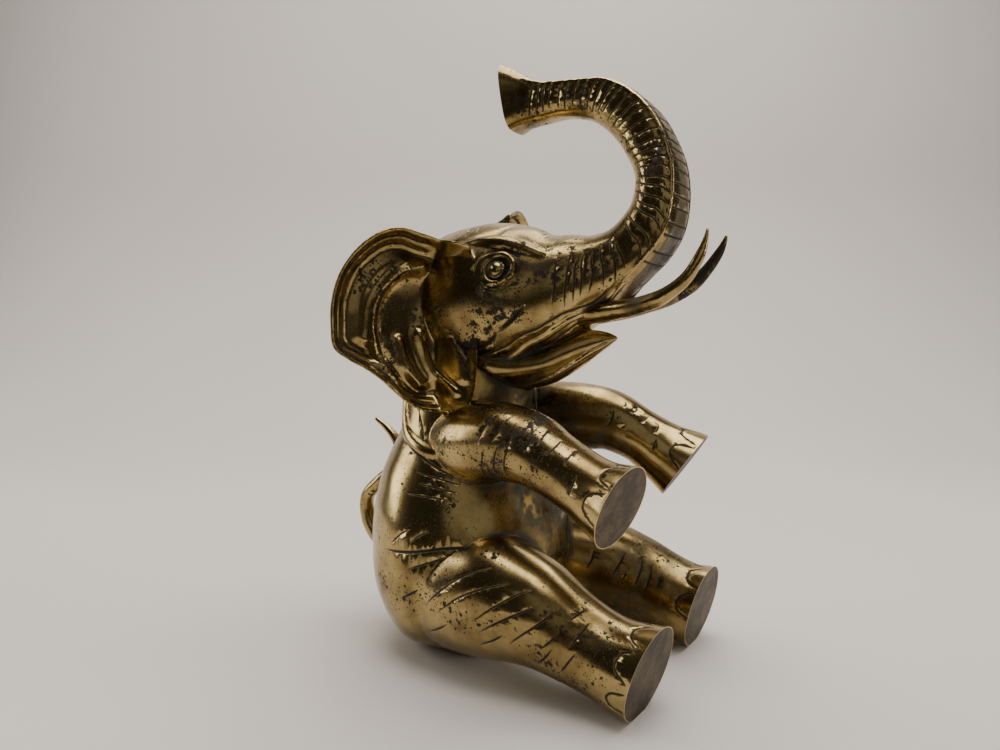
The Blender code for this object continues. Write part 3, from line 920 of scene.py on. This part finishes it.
@dataclass
class Skin:
    """The casting's dense surface while it is carved, in millimetres."""

    points: Array
    normals: Array
    raised: Array = field(init=False)
    depth: Array = field(init=False)
    patina_and_painted_shade: Array = field(init=False)
    order: Array = field(init=False)
    heights: Array = field(init=False)

    def __post_init__(self) -> None:
        """Starts with nothing raised or cut, and sorts the points by height."""
        self.raised = np.zeros(len(self.points))
        self.depth = np.zeros(len(self.points))
        self.patina_and_painted_shade = np.zeros(len(self.points))
        self.order = np.argsort(self.points[:, 2])
        self.heights = self.points[self.order, 2]

    def beside(self, trace: Trace, reach: float, through: float = 6.0) -> tuple[Array, ...]:
        """The points of the skin that lie beside a line.

        The distance is measured along the skin: the part of the offset that follows the normal is
        left out of it.

        Args:
            trace: the line.
            reach: how far along the skin it takes in.
            through: how far the skin may lie above or below the line.

        Returns:
            The points' numbers, their distances, the shares of the line where they lie, and how
            well they face the line's way, from 0 to 1.
        """
        line, outward = trace
        low, high = line.min(0) - reach - through / 2, line.max(0) + reach + through / 2
        first, last = np.searchsorted(self.heights, (low[2], high[2]))
        level = self.order[first:last]
        inside = level[((self.points[level] > low) & (self.points[level] < high)).all(1)]
        offset, place = away_from_line(self.points[inside], line)
        normal = self.normals[inside]
        rise = (offset * normal).sum(1)
        away = np.linalg.norm(offset - rise[:, None] * normal, axis=1)
        faces = (normal * outward[np.rint(place).astype(int)]).sum(1)
        kept = (away < reach) & (np.abs(rise) < through) & (faces > 0.1)
        facing = np.clip((faces[kept] - 0.1) / 0.4, 0, 1)
        return inside[kept], away[kept], place[kept] / (len(line) - 1), facing

    def draw(self, stroke: Stroke) -> None:
        """Cuts or raises one stroke.

        Across the line the height falls as (1 - (d / w)^2)^2, and both it and the width shrink with
        the square root of the share left to the line's end.

        Args:
            stroke: the stroke.
        """
        rows, away, share, facing = self.beside(stroke.trace, stroke.width + 0.35)
        end = facing * np.clip(np.minimum(share, 1 - share) / stroke.ends, 0, 1) ** 0.5
        wide = stroke.width * (0.6 + 0.4 * end)
        profile = end * np.clip(1 - (away / wide) ** 2, 0, 1) ** 2
        if stroke.height < 0:
            self.depth[rows] = np.maximum(self.depth[rows], -stroke.height * profile)
        else:
            self.raised[rows] = np.maximum(self.raised[rows], stroke.height * profile)
        # How dark the stroke is painted: patina in cuts, and painted shade for the trunk's broad
        # band.
        dark = stroke.dark * end * np.clip(1.15 - away / wide, 0, 1)
        self.patina_and_painted_shade[rows] = np.maximum(self.patina_and_painted_shade[rows], dark)

    def ripple(self, rng: np.random.Generator, waves: int = 20, size: float = 0.03) -> Array:
        """The unevenness left by hand polishing: a sum of sine waves in all directions."""
        ways = unit(rng.normal(size=(waves, 3))) * 2 * math.pi / rng.uniform(14, 42, (waves, 1))
        return size * np.sin(self.points @ ways.T + rng.uniform(0, 6.3, waves)).sum(1)

    def carved(self, rng: np.random.Generator) -> Array:
        """The points with every stroke and the unevenness in place."""
        lift = self.raised - self.depth + self.ripple(rng)
        return self.points + lift[:, None] * self.normals

    def within(self, zones: Sequence[Zone]) -> Array:
        """How strongly each point lies in the zones.

        At distance d from the middle of a zone of reach r its strength is times (1.5 - d / r),
        held between 0 and 1. The strongest zone counts.

        Args:
            zones: the zones.

        Returns:
            One number for each point.
        """
        amount = np.zeros(len(self.points))
        for zone in zones:
            away = np.linalg.norm(self.points - np.array(zone[:3]), axis=1) / zone.reach
            amount = np.maximum(amount, zone.strength * np.clip(1.5 - away, 0, 1))
        return amount


def read(mesh: bpy.types.Mesh, what: str, name: str, width: int, kind: type = float) -> Array:
    """One property of all the mesh's vertices, edges or the like, as an array."""
    items = getattr(mesh, what)
    values = np.empty(len(items) * width, np.float32 if kind is float else np.int32)
    items.foreach_get(name, values)
    return values.reshape(-1, width).astype(kind)


def set_attribute(mesh: bpy.types.Mesh, name: str, values: Array) -> None:
    """Stores one number for each vertex under this name."""
    layer = mesh.attributes.get(name) or mesh.attributes.new(name, "FLOAT", "POINT")
    layer.data.foreach_set("value", np.asarray(values, np.float32))


@dataclass
class Casting:
    """The whole casting: melted from its parts, carved, thinned and sawn.

    One millimetre of the drawing is `unit` metres. Thinning spares the points beside strokes: their
    weight is `held`, that of all others is one, and `care` is how much the weights count. The saw
    bites as far as `sole_reach` from the point of a sole or of the trunk's mouth. The rim of a
    flat, painted bright for wear and as a painted highlight, and the band inside it have the
    `rim_widths`.
    """

    unit: float
    torso: Torso = field(default_factory=Torso)
    head: Head = field(default_factory=Head)
    legs: Sequence[Leg] = LEGS
    voxel: float = 0.55
    soft_rounds: int = 16
    hollow_rounds: int = 160
    triangles: int = 188_000
    held: float = 0.85
    care: float = 5e-6
    sole_reach: float = 45.0
    rim_widths: tuple = (0.9, 5.0)
    seed: int = 11

    def __post_init__(self) -> None:
        """Makes the ears and the source of small differences."""
        self.ears = [Ear(side) for side in Side]
        self.rng = np.random.default_rng(self.seed)

    def melted(self) -> bpy.types.Mesh:
        """All the parts as one closed skin of small squares."""
        parts = [self.torso, self.head, *self.legs, *self.ears]
        solids = [solid for part in parts for solid in part.solids()]
        faces, first = [], 0
        for solid in solids:
            faces += [[corner + first for corner in face] for face in solid.faces]
            first += len(solid.points)
        mesh = bpy.data.meshes.new("parts")
        points = np.vstack([solid.points for solid in solids]) * self.unit
        mesh.from_pydata(points.tolist(), [], faces)
        melt = ("REMESH", {"mode": "VOXEL", "voxel_size": self.voxel * self.unit})
        log.info("parts: %d solids, %d faces", len(solids), len(faces))
        return self.modified(mesh, melt)

    def modified(self, mesh: bpy.types.Mesh, *steps: tuple) -> bpy.types.Mesh:
        """The mesh after modifiers.

        Args:
            mesh: the mesh, which is removed.
            steps: (type, settings) of each modifier.

        Returns:
            The new mesh.
        """
        return self.result(placed("holder", mesh), *steps)

    def result(self, holder: bpy.types.Object, *steps: tuple) -> bpy.types.Mesh:
        """The mesh that modifiers make of an object, which is removed with its own mesh."""
        mesh = holder.data
        for kind, settings in steps:
            modifier = holder.modifiers.new(kind, kind)
            for name, value in settings.items():
                setattr(modifier, name, value)
        graph = bpy.context.evaluated_depsgraph_get()
        made = bpy.data.meshes.new_from_object(holder.evaluated_get(graph))
        bpy.data.objects.remove(holder)
        bpy.data.meshes.remove(mesh)
        return made

    def smoothed(self, mesh: bpy.types.Mesh, rounds: int) -> Array:
        """The mesh's points, in millimetres, after rounds of smoothing."""
        made = self.modified(mesh.copy(), ("SMOOTH", {"factor": 0.5, "iterations": rounds}))
        points = read(made, "vertices", "co", 3) / self.unit
        bpy.data.meshes.remove(made)
        return points

    def slender(self, points: Array) -> Array:
        """How near each point is to a tusk or to the tail's end, from 0 to 1."""
        away = np.full(len(points), 1e9)
        for rows in (*self.head.tusks, self.torso.tail[3:]):
            line = smooth_path(rows, 4)[:, :3]
            low, high = line.min(0) - 12, line.max(0) + 12
            near = np.flatnonzero(((points > low) & (points < high)).all(1))
            offset = away_from_line(points[near], line)[0]
            away[near] = np.minimum(away[near], np.linalg.norm(offset, axis=1))
        return 1 - np.clip((away - 7) / 5, 0, 1)

    def soften(self, mesh: bpy.types.Mesh) -> None:
        """Rounds the joins and stores how deep in a hollow each point lies."""
        points = read(mesh, "vertices", "co", 3) / self.unit
        share = 1 - 0.8 * self.slender(points)[:, None]
        points = points + share * (self.smoothed(mesh, self.soft_rounds) - points)
        mesh.vertices.foreach_set("co", (points * self.unit).astype(np.float32).ravel())
        mesh.update()
        normals = read(mesh, "vertices", "normal", 3)
        hollow = ((self.smoothed(mesh, self.hollow_rounds) - points) * normals).sum(1)
        set_attribute(mesh, "hollow", np.clip(hollow, -1, 1))

    def carve(self, mesh: bpy.types.Mesh) -> None:
        """Draws every stroke on the dense skin and stores what each one leaves on it."""
        points, outward = (read(mesh, "vertices", name, 3) for name in ("co", "normal"))
        skin = Skin(points / self.unit, outward)
        strokes = self.torso.strokes() + self.head.strokes(self.rng)
        for part in (*self.legs, *self.ears):
            strokes += part.strokes()
        for stroke in strokes:
            skin.draw(stroke)
        points = skin.carved(self.rng) * self.unit
        mesh.vertices.foreach_set("co", points.astype(np.float32).ravel())
        mesh.update()
        # The darkness of the strokes: patina in the cuts, and the painted shade of the trunk's
        # band.
        set_attribute(mesh, "patina_and_painted_shade", skin.patina_and_painted_shade)
        set_attribute(mesh, "stain", skin.within(STAINS))
        # Painted shade from the zones, less the zones where the brass is made lighter.
        set_attribute(mesh, "painted_shade", skin.within(PAINTED_SHADE) - skin.within(CLEAN))
        set_attribute(mesh, "crest", np.clip(skin.raised, 0, 1))
        log.info("carved: %d strokes on %d points", len(strokes), len(skin.points))

    def thinned(self, dense: bpy.types.Mesh) -> bpy.types.Mesh:
        """A copy of the dense skin with few triangles, more of them beside the strokes."""
        dense.calc_loop_triangles()
        ratio = self.triangles / len(dense.loop_triangles)
        depth = np.empty(len(dense.vertices), np.float32)
        dense.attributes["patina_and_painted_shade"].data.foreach_get("value", depth)
        cut = depth > 0
        holder = placed("holder", dense.copy())
        group = holder.vertex_groups.new(name="plain")
        group.add(np.flatnonzero(cut).tolist(), self.held, "REPLACE")
        group.add(np.flatnonzero(~cut).tolist(), 1.0, "REPLACE")
        fewer = {"ratio": ratio, "vertex_group": group.name, "vertex_group_factor": self.care}
        return self.result(holder, ("DECIMATE", fewer))

    def sawn(self, mesh: bpy.types.Mesh) -> None:
        """Saws off what lies past each flat and caps it with a ring and a middle."""
        bm = bmesh.new()
        bm.from_mesh(mesh)
        edge = bm.verts.layers.float.get("edge") or bm.verts.layers.float.new("edge")
        self.saw(bm, GROUND, math.inf, edge)
        for flat in (self.head.trunk_mouth, *(leg.sole for leg in self.legs)):
            self.saw(bm, flat, self.sole_reach, edge)
        bm.to_mesh(mesh)
        bm.free()

    def saw(self, bm: bmesh.types.BMesh, flat: Flat, reach: float, edge) -> None:
        """Cuts along one flat.

        Args:
            bm: the casting.
            flat: the flat.
            reach: how far from the flat's point the saw bites.
            edge: the layer that marks the rim, painted bright for wear and as a painted highlight.
        """
        point = Vector(flat.point() * self.unit)
        normal = Vector(flat.facing())
        verts = [v for v in bm.verts if (v.co - point).length < reach * self.unit]
        taken = set(verts)
        around = dict.fromkeys(f for v in verts for f in v.link_faces)
        faces = [f for f in around if taken.issuperset(f.verts)]
        edges = list(dict.fromkeys(e for f in faces for e in f.edges))
        cut = bmesh.ops.bisect_plane(
            bm,
            geom=verts + edges + faces,
            dist=1e-7,
            plane_co=point,
            plane_no=normal,
            clear_outer=True,
        )["geom_cut"]
        rim = [e for e in cut if isinstance(e, bmesh.types.BMEdge) and e.is_boundary]
        caps = bmesh.ops.holes_fill(bm, edges=rim)["faces"]
        for cap in caps:
            cap.material_index = 1
            middle = cap.calc_center_median()
            # The rim's points are marked, to be painted bright for wear and as a painted highlight.
            for v in cap.verts:
                v[edge] = 1.0
            for width in self.rim_widths:
                ring = bmesh.ops.inset_region(bm, faces=[cap], thickness=0.0)["faces"]
                for v in cap.verts:
                    inward = middle - v.co
                    v.co += inward * min(0.9, width * self.unit / inward.length)
                    v[edge] = 0.0
                for f in ring:
                    f.material_index = 1
            bmesh.ops.poke(bm, faces=[cap])
        log.info("sawn at %s: %d caps, %d rim edges", tuple(flat.point()), len(caps), len(rim))

    def shade(self, mesh: bpy.types.Mesh, dense: bpy.types.Mesh) -> bpy.types.Mesh:
        """Gives the thin mesh the dense one's normals, and flats their own."""
        source = placed("dense", dense)
        transfer = {
            "object": source,
            "use_loop_data": True,
            "data_types_loops": {"CUSTOM_NORMAL"},
            "loop_mapping": "POLYINTERP_NEAREST",
        }
        made = self.modified(mesh, ("DATA_TRANSFER", transfer))
        normals = read(made, "corner_normals", "vector", 3)
        flat = read(made, "polygons", "material_index", 1, int)[:, 0] == 1
        count = read(made, "polygons", "loop_total", 1, int)[:, 0]
        own = read(made, "polygons", "normal", 3)
        rows = np.repeat(flat, count)
        normals[rows] = np.repeat(own, count, 0)[rows]
        made.normals_split_custom_set(normals.tolist())
        bpy.data.objects.remove(source)
        bpy.data.meshes.remove(dense)
        return made

    def build(self, finishes: Sequence[bpy.types.Material]) -> bpy.types.Object:
        """Makes the finished piece.

        Args:
            finishes: the materials of the brass and of the sawn flats.

        Returns:
            The object.
        """
        dense = self.melted()
        self.soften(dense)
        self.carve(dense)
        thin = self.thinned(dense)
        for finish in finishes:
            thin.materials.append(finish)
        self.sawn(thin)
        thin.polygons.foreach_set("use_smooth", np.ones(len(thin.polygons), bool))
        made = self.shade(thin, dense)
        made.name = "casting"
        casting = placed("elephant_casting", made)
        made.calc_loop_triangles()
        log.info("casting: %d triangles", len(made.loop_triangles))
        return casting


class Sockets:
    """Short ways to add and join the nodes of one tree."""

    def __init__(self, tree: bpy.types.NodeTree) -> None:
        """Keeps the tree."""
        self.tree = tree

    def add(self, kind: str, inputs: dict | None = None, **settings) -> bpy.types.Node:
        """Adds a node.

        Args:
            kind: the node's type name.
            inputs: values or sockets for its inputs, by name or number.
            settings: its own properties.

        Returns:
            The node.
        """
        node = self.tree.nodes.new(kind)
        for name, value in settings.items():
            setattr(node, name, value)
        self.feed(node, inputs or {})
        return node

    def feed(self, node: bpy.types.Node, inputs: dict) -> None:
        """Joins sockets to the node's inputs, and sets the values that are no sockets."""
        for name, value in inputs.items():
            if isinstance(value, bpy.types.NodeSocket):
                self.tree.links.new(value, node.inputs[name])
            else:
                node.inputs[name].default_value = value

    def math(self, operation: str, a, b=0.0, c=0.0, clamp: bool = False) -> bpy.types.NodeSocket:
        """The result of one sum."""
        node = self.add("ShaderNodeMath", {0: a, 1: b, 2: c}, operation=operation, use_clamp=clamp)
        return node.outputs[0]

    def ramp(self, value, low: float, high: float, to_low=0.0, to_high=1.0) -> bpy.types.NodeSocket:
        """The value carried smoothly from one range to another."""
        inputs = {"Value": value, 1: low, 2: high, 3: to_low, 4: to_high}
        node = self.add("ShaderNodeMapRange", inputs, interpolation_type="SMOOTHSTEP")
        return node.outputs["Result"]

    def mix(self, share, a, b) -> bpy.types.NodeSocket:
        """Two colours mixed."""
        node = self.add("ShaderNodeMix", {0: share, 6: a, 7: b}, data_type="RGBA")
        return node.outputs[2]

    def noise(
        self, vector: bpy.types.NodeSocket, scale: float, detail: float = 3.0, rough: float = 0.5
    ) -> bpy.types.NodeSocket:
        """Cloudy noise from 0 to 1."""
        inputs = {"Vector": vector, "Scale": scale, "Detail": detail, "Roughness": rough}
        return self.add("ShaderNodeTexNoise", inputs).outputs[0]

    def attribute(self, name: str) -> bpy.types.NodeSocket:
        """The number stored on the skin under this name."""
        return self.add("ShaderNodeAttribute", attribute_name=name).outputs["Fac"]


def new_material(name: str) -> tuple:
    """A new material, its sockets helper, its shader and its object coordinates."""
    material = bpy.data.materials.new(name)
    material.use_nodes = True
    made = Sockets(material.node_tree)
    vector = made.add("ShaderNodeTexCoord").outputs["Object"]
    return material, made, material.node_tree.nodes["Principled BSDF"], vector


def new_group(name: str, inputs: Sequence[str], outputs: Sequence[str]) -> tuple:
    """An empty node group.

    Args:
        name: its name.
        inputs: its inputs; one called Vector is a vector and the others are numbers.
        outputs: its outputs, all numbers.

    Returns:
        The group, its sockets helper, and its input and output nodes.
    """
    group = bpy.data.node_groups.new(name, "ShaderNodeTree")
    for label in inputs:
        kind = "NodeSocketVector" if label == "Vector" else "NodeSocketFloat"
        group.interface.new_socket(label, in_out="INPUT", socket_type=kind)
    for label in outputs:
        group.interface.new_socket(label, in_out="OUTPUT", socket_type="NodeSocketFloat")
    made = Sockets(group)
    return group, made, made.add("NodeGroupInput"), made.add("NodeGroupOutput")


def spots_group() -> bpy.types.NodeTree:
    """Black specks and blotches of tarnish, more of them where the density is high."""
    group, n, given, out = new_group("tarnish_spots", ["Vector", "Density"], ["Spots", "Halo"])
    vector, density = given.outputs["Vector"], given.outputs["Density"]
    warp = n.add("ShaderNodeTexNoise", {"Vector": vector, "Scale": 260.0, "Detail": 4.0})
    shift = n.add(
        "ShaderNodeVectorMath",
        {0: warp.outputs["Color"], 1: (0.5, 0.5, 0.5)},
        operation="SUBTRACT",
    )
    moved = n.add(
        "ShaderNodeVectorMath",
        {0: shift.outputs[0], 1: (0.0034, 0.0034, 0.0034), 2: vector},
        operation="MULTIPLY_ADD",
    ).outputs[0]
    found = []
    swarm = n.ramp(n.noise(vector, 55.0, 3.0), 0.35, 0.68, 0.35, 1.1)
    crowd = n.math("MULTIPLY", density, swarm)
    for scale, rare, most in ((170.0, 0.70, 0.42), (340.0, 0.52, 0.42), (760.0, 0.40, 0.42)):
        cell = n.add("ShaderNodeTexVoronoi", {"Vector": moved, "Scale": scale})
        chance = n.add("ShaderNodeSeparateColor", {0: cell.outputs["Color"]}).outputs[0]
        room = n.math("SUBTRACT", n.math("MULTIPLY_ADD", crowd, 0.75, chance), rare + 0.45)
        size = n.math("MULTIPLY", n.ramp(room, 0.0, 0.45), most)
        edge = n.math("SUBTRACT", size, cell.outputs["Distance"])
        found.append(n.ramp(edge, -0.01, 0.05))
    blotch = n.noise(moved, 140.0, 8.0, 0.72)
    wanted = n.math("MULTIPLY_ADD", crowd, -0.24, 0.74)
    found.append(n.ramp(n.math("SUBTRACT", blotch, wanted), 0.0, 0.03))
    spots = found[0]
    for more in found[1:]:
        spots = n.math("MAXIMUM", spots, more)
    halo = n.ramp(n.noise(vector, 60.0, 6.0, 0.65), 0.42, 0.7)
    n.feed(out, {"Spots": spots, "Halo": n.math("MULTIPLY", halo, density)})
    return group


def film_and_shade_group() -> bpy.types.NodeTree:
    """Brown film that comes and goes over the brass, with painted shade: film and grime grow
    heavier with Hollow, the depth of hollows plus the painted shade zones.
    """
    group, n, given, out = new_group("brown_film_and_shade", ["Vector", "Hollow"], ["FilmAndShade", "GrimeAndShade"])
    vector, hollow = given.outputs["Vector"], given.outputs["Hollow"]
    broad = n.ramp(n.noise(vector, 24.0, 6.0, 0.62), 0.38, 0.66)
    cloud = n.ramp(n.noise(vector, 85.0, 5.0, 0.6), 0.40, 0.68)
    # Painted shade in hollows: the deeper the hollow, the heavier the film there, along with grime.
    deep = n.ramp(hollow, 0.05, 1.0)
    both = n.math("MULTIPLY_ADD", broad, 0.5, n.math("MULTIPLY", cloud, 0.22))
    film_and_shade = n.math("MULTIPLY_ADD", deep, 0.8, both, clamp=True)
    patches = n.ramp(n.noise(vector, 130.0, 6.0, 0.7), 0.40, 0.60)
    grime_and_shade = n.math("MULTIPLY", n.ramp(hollow, 0.3, 0.95), patches)
    n.feed(out, {"FilmAndShade": film_and_shade, "GrimeAndShade": grime_and_shade})
    return group


def marks_group() -> bpy.types.NodeTree:
    """The fine height of a polished casting: faint pits and wiping marks."""
    group, n, given, out = new_group("polish_marks", ["Vector"], ["Height"])
    vector = given.outputs["Vector"]
    pits = n.ramp(n.noise(vector, 1400.0, 2.0), 0.62, 0.8, 0.0, -1.0)
    turned = n.add("ShaderNodeMapping", {"Vector": vector, "Scale": (1.0, 1.0, 9.0)}).outputs[0]
    wiped = n.noise(turned, 260.0, 5.0, 0.6)
    soft = n.noise(vector, 95.0, 3.0)
    height = n.math("MULTIPLY_ADD", wiped, 0.25, n.math("MULTIPLY", pits, 0.3))
    n.feed(out, {"Height": n.math("MULTIPLY_ADD", soft, 0.9, height)})
    return group


@dataclass(frozen=True)
class Brass:
    """Polished brass with tarnish, film, grime and painted shade: its colours and how rough each
    state is.
    """

    bright: tuple = (0.46, 0.345, 0.142, 1)
    film_and_shade: tuple = (0.105, 0.066, 0.020, 1)
    worn: tuple = (0.64, 0.49, 0.235, 1)
    # Dark tarnish for spots and cuts, also used for the painted shade on the trunk's outer face.
    tarnish_and_shade: tuple = (0.014, 0.010, 0.007, 1)
    grime_and_shade: tuple = (0.028, 0.044, 0.038, 1)
    roughness: float = 0.19

    def material(
        self, spots: bpy.types.NodeTree, film_and_shade: bpy.types.NodeTree, marks: bpy.types.NodeTree
    ) -> bpy.types.Material:
        """Builds the material.

        Args:
            spots: the group of tarnish spots.
            film_and_shade: the group of brown film, grime and painted shade.
            marks: the group of polishing marks.

        Returns:
            The material.
        """
        material, n, shader, vector = new_material("polished_brass")
        stain, painted_shade = n.attribute("stain"), n.attribute("painted_shade")
        # The painted shade of the zones is added to the hollows' depth, so it darkens the brass
        # like film and grime.
        hollow = n.math("ADD", n.attribute("hollow"), painted_shade)
        speck = n.add("ShaderNodeGroup", node_tree=spots)
        n.feed(speck, {"Vector": vector, "Density": stain})
        film_and_shade_node = n.add("ShaderNodeGroup", node_tree=film_and_shade)
        n.feed(film_and_shade_node, {"Vector": vector, "Hollow": hollow})
        fine = n.add("ShaderNodeGroup", node_tree=marks)
        n.feed(fine, {"Vector": vector})
        black, grime_and_shade_share = speck.outputs["Spots"], film_and_shade_node.outputs["GrimeAndShade"]
        halo, brown = speck.outputs["Halo"], film_and_shade_node.outputs["FilmAndShade"]
        brown = n.math("MULTIPLY_ADD", halo, 0.35, brown, clamp=True)
        # Darkened toward the tarnish colour: patina in the cuts, and painted shade on the trunk's
        # outer face.
        cut = n.ramp(n.attribute("patina_and_painted_shade"), 0.1, 0.65)
        # Brown film, with painted shade in hollows and in the shade zones.
        colour = n.mix(brown, self.bright, self.film_and_shade)
        colour = n.mix(n.attribute("crest"), colour, self.worn)
        colour = n.mix(n.math("MULTIPLY", cut, 0.95), colour, self.tarnish_and_shade)
        colour = n.mix(n.math("MULTIPLY", black, 0.95), colour, self.tarnish_and_shade)
        # Grime in hollows, with painted shade there and in the shade zones.
        colour = n.mix(n.math("MULTIPLY", grime_and_shade_share, 0.8), colour, self.grime_and_shade)
        dull = n.math("MAXIMUM", n.math("MAXIMUM", cut, black), grime_and_shade_share)
        rough = n.math("MULTIPLY_ADD", brown, 0.10, self.roughness)
        rough = n.math("MULTIPLY_ADD", dull, 0.38, rough)
        metal = n.math("MULTIPLY_ADD", dull, -0.55, 1.0)
        height = fine.outputs["Height"]
        bump = n.add("ShaderNodeBump", {"Strength": 0.5, "Distance": 0.00009, "Height": height})
        made = {"Base Color": colour, "Roughness": rough, "Metallic": metal}
        n.feed(shader, made | {"Normal": bump.outputs[0]})
        return material


@dataclass(frozen=True)
class SawnBrass:
    """The sawn soles: dull brass with saw lines and a rim painted bright, for wear and as a painted
    highlight.
    """

    fresh: tuple = (0.125, 0.088, 0.045, 1)
    dull: tuple = (0.042, 0.030, 0.017, 1)
    # The rim colour: wear on the sawn edge, and a painted highlight along it.
    rim: tuple = (0.76, 0.59, 0.31, 1)
    spot: tuple = (0.03, 0.022, 0.015, 1)
    metallic: float = 0.75
    roughness: float = 0.48

    def material(self, spots: bpy.types.NodeTree) -> bpy.types.Material:
        """Builds the material.

        Args:
            spots: the group of tarnish spots.

        Returns:
            The material.
        """
        material, n, shader, vector = new_material("sawn_brass")
        drawn = {"Vector": vector, "Rotation": (0.0, 0.5, 0.0), "Scale": (0.12, 0.12, 1.0)}
        saw = n.noise(n.add("ShaderNodeMapping", drawn).outputs[0], 1500.0, 4.0, 0.6)
        cloud = n.noise(vector, 75.0, 5.0, 0.6)
        speck = n.add("ShaderNodeGroup", node_tree=spots)
        n.feed(speck, {"Vector": vector, "Density": 0.75})
        share = n.math("MULTIPLY_ADD", saw, 0.4, n.ramp(cloud, 0.36, 0.6, -0.1, 0.75), clamp=True)
        colour = n.mix(share, self.fresh, self.dull)
        colour = n.mix(n.math("MULTIPLY", speck.outputs["Spots"], 0.7), colour, self.spot)
        # The rim is painted bright: wear on the edge, and a painted highlight along it.
        edge = n.ramp(n.attribute("edge"), 0.35, 0.9)
        colour = n.mix(edge, colour, self.rim)
        rough = n.math("MULTIPLY_ADD", saw, 0.12, self.roughness)
        rough = n.math("MULTIPLY_ADD", edge, -0.22, rough)
        bump = n.add("ShaderNodeBump", {"Strength": 0.6, "Distance": 0.00012, "Height": saw})
        made = {"Base Color": colour, "Roughness": rough, "Metallic": self.metallic}
        n.feed(shader, made | {"Normal": bump.outputs[0]})
        return material


@dataclass
class Studio:
    """The seamless floor and backdrop, the soft lights and the camera of the photo."""

    camera_place: tuple = (-0.400, -0.227, 0.1999)
    camera_turn: float = -59.695
    camera_tip: float = 3.934
    lens: float = 27.04
    sensor: float = 36.0
    backdrop_radius: float = 0.5
    table_front: float = -0.62
    table_back: float = 0.55
    backdrop_height: float = 2.2
    half_width: float = 1.2
    paper: tuple = ((0.69, 0.655, 0.61, 1), (0.75, 0.71, 0.662, 1))
    room: tuple = (0.022, 0.020, 0.018, 1)
    aim: tuple = (0, 0, 0.18)

    def axes(self) -> tuple[Vector, Vector, Vector]:
        """The camera's right, up and forward directions."""
        turn, tip = math.radians(self.camera_turn), math.radians(self.camera_tip)
        level = math.cos(tip)
        right = Vector((math.cos(turn), math.sin(turn), 0))
        forward = Vector((-math.sin(turn) * level, math.cos(turn) * level, -math.sin(tip)))
        return right, right.cross(forward), forward

    def camera(self) -> None:
        """Sets the camera where the photo was taken from."""
        right, up, forward = self.axes()
        data = bpy.data.cameras.new("camera")
        data.lens, data.sensor_width = self.lens, self.sensor
        data.clip_start = 0.01
        camera = placed("camera", data)
        rows = Matrix((right, up, -forward)).transposed().to_4x4()
        camera.matrix_world = Matrix.Translation(self.camera_place) @ rows
        bpy.context.scene.camera = camera

    def sweep(self) -> bpy.types.Object:
        """The floor that curves up into the backdrop.

        Along the camera's level forward direction the profile is flat, then a quarter circle of
        radius r, then upright: (f, z) = (e + r sin t, r (1 - cos t)) for t from 0 to 90 degrees,
        where e is the table's back.
        """
        turn = math.radians(self.camera_turn)
        ahead = np.array([-math.sin(turn), math.cos(turn), 0])
        aside = np.array([math.cos(turn), math.sin(turn), 0])
        r, t = self.backdrop_radius, np.linspace(0, math.pi / 2, 24)
        profile = np.stack([self.table_back + r * np.sin(t), r * (1 - np.cos(t))], -1)
        top = [self.table_back + r, self.backdrop_height]
        profile = np.vstack([[self.table_front, 0], profile, top])
        wide = np.array([-self.half_width, self.half_width])
        points = (
            profile[:, None, :1] * ahead
            + wide[None, :, None] * aside
            + profile[:, None, 1:] * np.array([0, 0, 1.0])
        )
        count = len(profile)
        grid = np.arange(count * 2).reshape(count, 2)
        faces = np.stack([grid[:-1, 0], grid[:-1, 1], grid[1:, 1], grid[1:, 0]], -1)
        mesh = bpy.data.meshes.new("backdrop")
        mesh.from_pydata(points.reshape(-1, 3).tolist(), [], faces.tolist())
        mesh.shade_smooth()
        material, n, shader, vector = new_material("paper")
        tone = n.mix(n.noise(vector, 2.5, 2.0), *self.paper)
        n.feed(shader, {"Base Color": tone, "Roughness": 0.75})
        mesh.materials.append(material)
        return placed("backdrop", mesh)

    def softbox(self, name: str, place: Sequence, size: tuple, power: float, tint: tuple) -> None:
        """A large soft light that faces the figure.

        Args:
            name: its name.
            place: where it hangs, in metres.
            size: its width and height, in metres.
            power: its power, in watts.
            tint: its colour.
        """
        data = bpy.data.lights.new(name, "AREA")
        data.shape, data.size, data.size_y = "RECTANGLE", *size
        data.energy, data.color = power, tint
        light = placed(name, data)
        light.location = place
        light.rotation_mode = "QUATERNION"
        toward = Vector(self.aim) - Vector(place)
        light.rotation_quaternion = toward.to_track_quat("-Z", "Y")

    def lights(self) -> None:
        """The overhead softbox, a fill from each side and the dim room behind the camera."""
        self.softbox("overhead", (0.2, -0.1, 1.5), (1.5, 1.5), 34, (1.0, 0.96, 0.92))
        self.softbox("left", (-0.4, 1.2, 0.6), (0.5, 0.9), 6, (1.0, 0.96, 0.92))
        self.softbox("right", (0.5, -1.3, 0.5), (0.4, 0.7), 4, (1.0, 0.97, 0.94))
        self.softbox("room", (-1.1, -0.75, 0.75), (1.6, 1.0), 1.6, (1.0, 0.95, 0.88))
        world = bpy.data.worlds.new("room")
        world.use_nodes = True
        world.node_tree.nodes["Background"].inputs["Color"].default_value = self.room
        bpy.context.scene.world = world

    def build(self) -> None:
        """Sets up everything that isn't the figurine."""
        self.sweep()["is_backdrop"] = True
        self.lights()
        self.camera()


def main() -> None:
    """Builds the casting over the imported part, then the studio."""
    logging.basicConfig(level=logging.INFO, format="%(name)s: %(message)s")
    for old in list(bpy.data.objects):
        bpy.data.objects.remove(old)
    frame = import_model()
    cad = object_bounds()
    log.info("frame: nodes %s", ", ".join(frame["nodes"]))
    scale = (cad[1].z - cad[0].z) / DRAWN_HEIGHT
    spots, film_and_shade, marks = spots_group(), film_and_shade_group(), marks_group()
    finishes = [Brass().material(spots, film_and_shade, marks), SawnBrass().material(spots)]
    casting = Casting(scale).build(finishes)
    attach(casting, "root")
    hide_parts("elephant")
    Studio().build()
    bpy.context.view_layer.update()


if __name__ == "__main__":
    main()
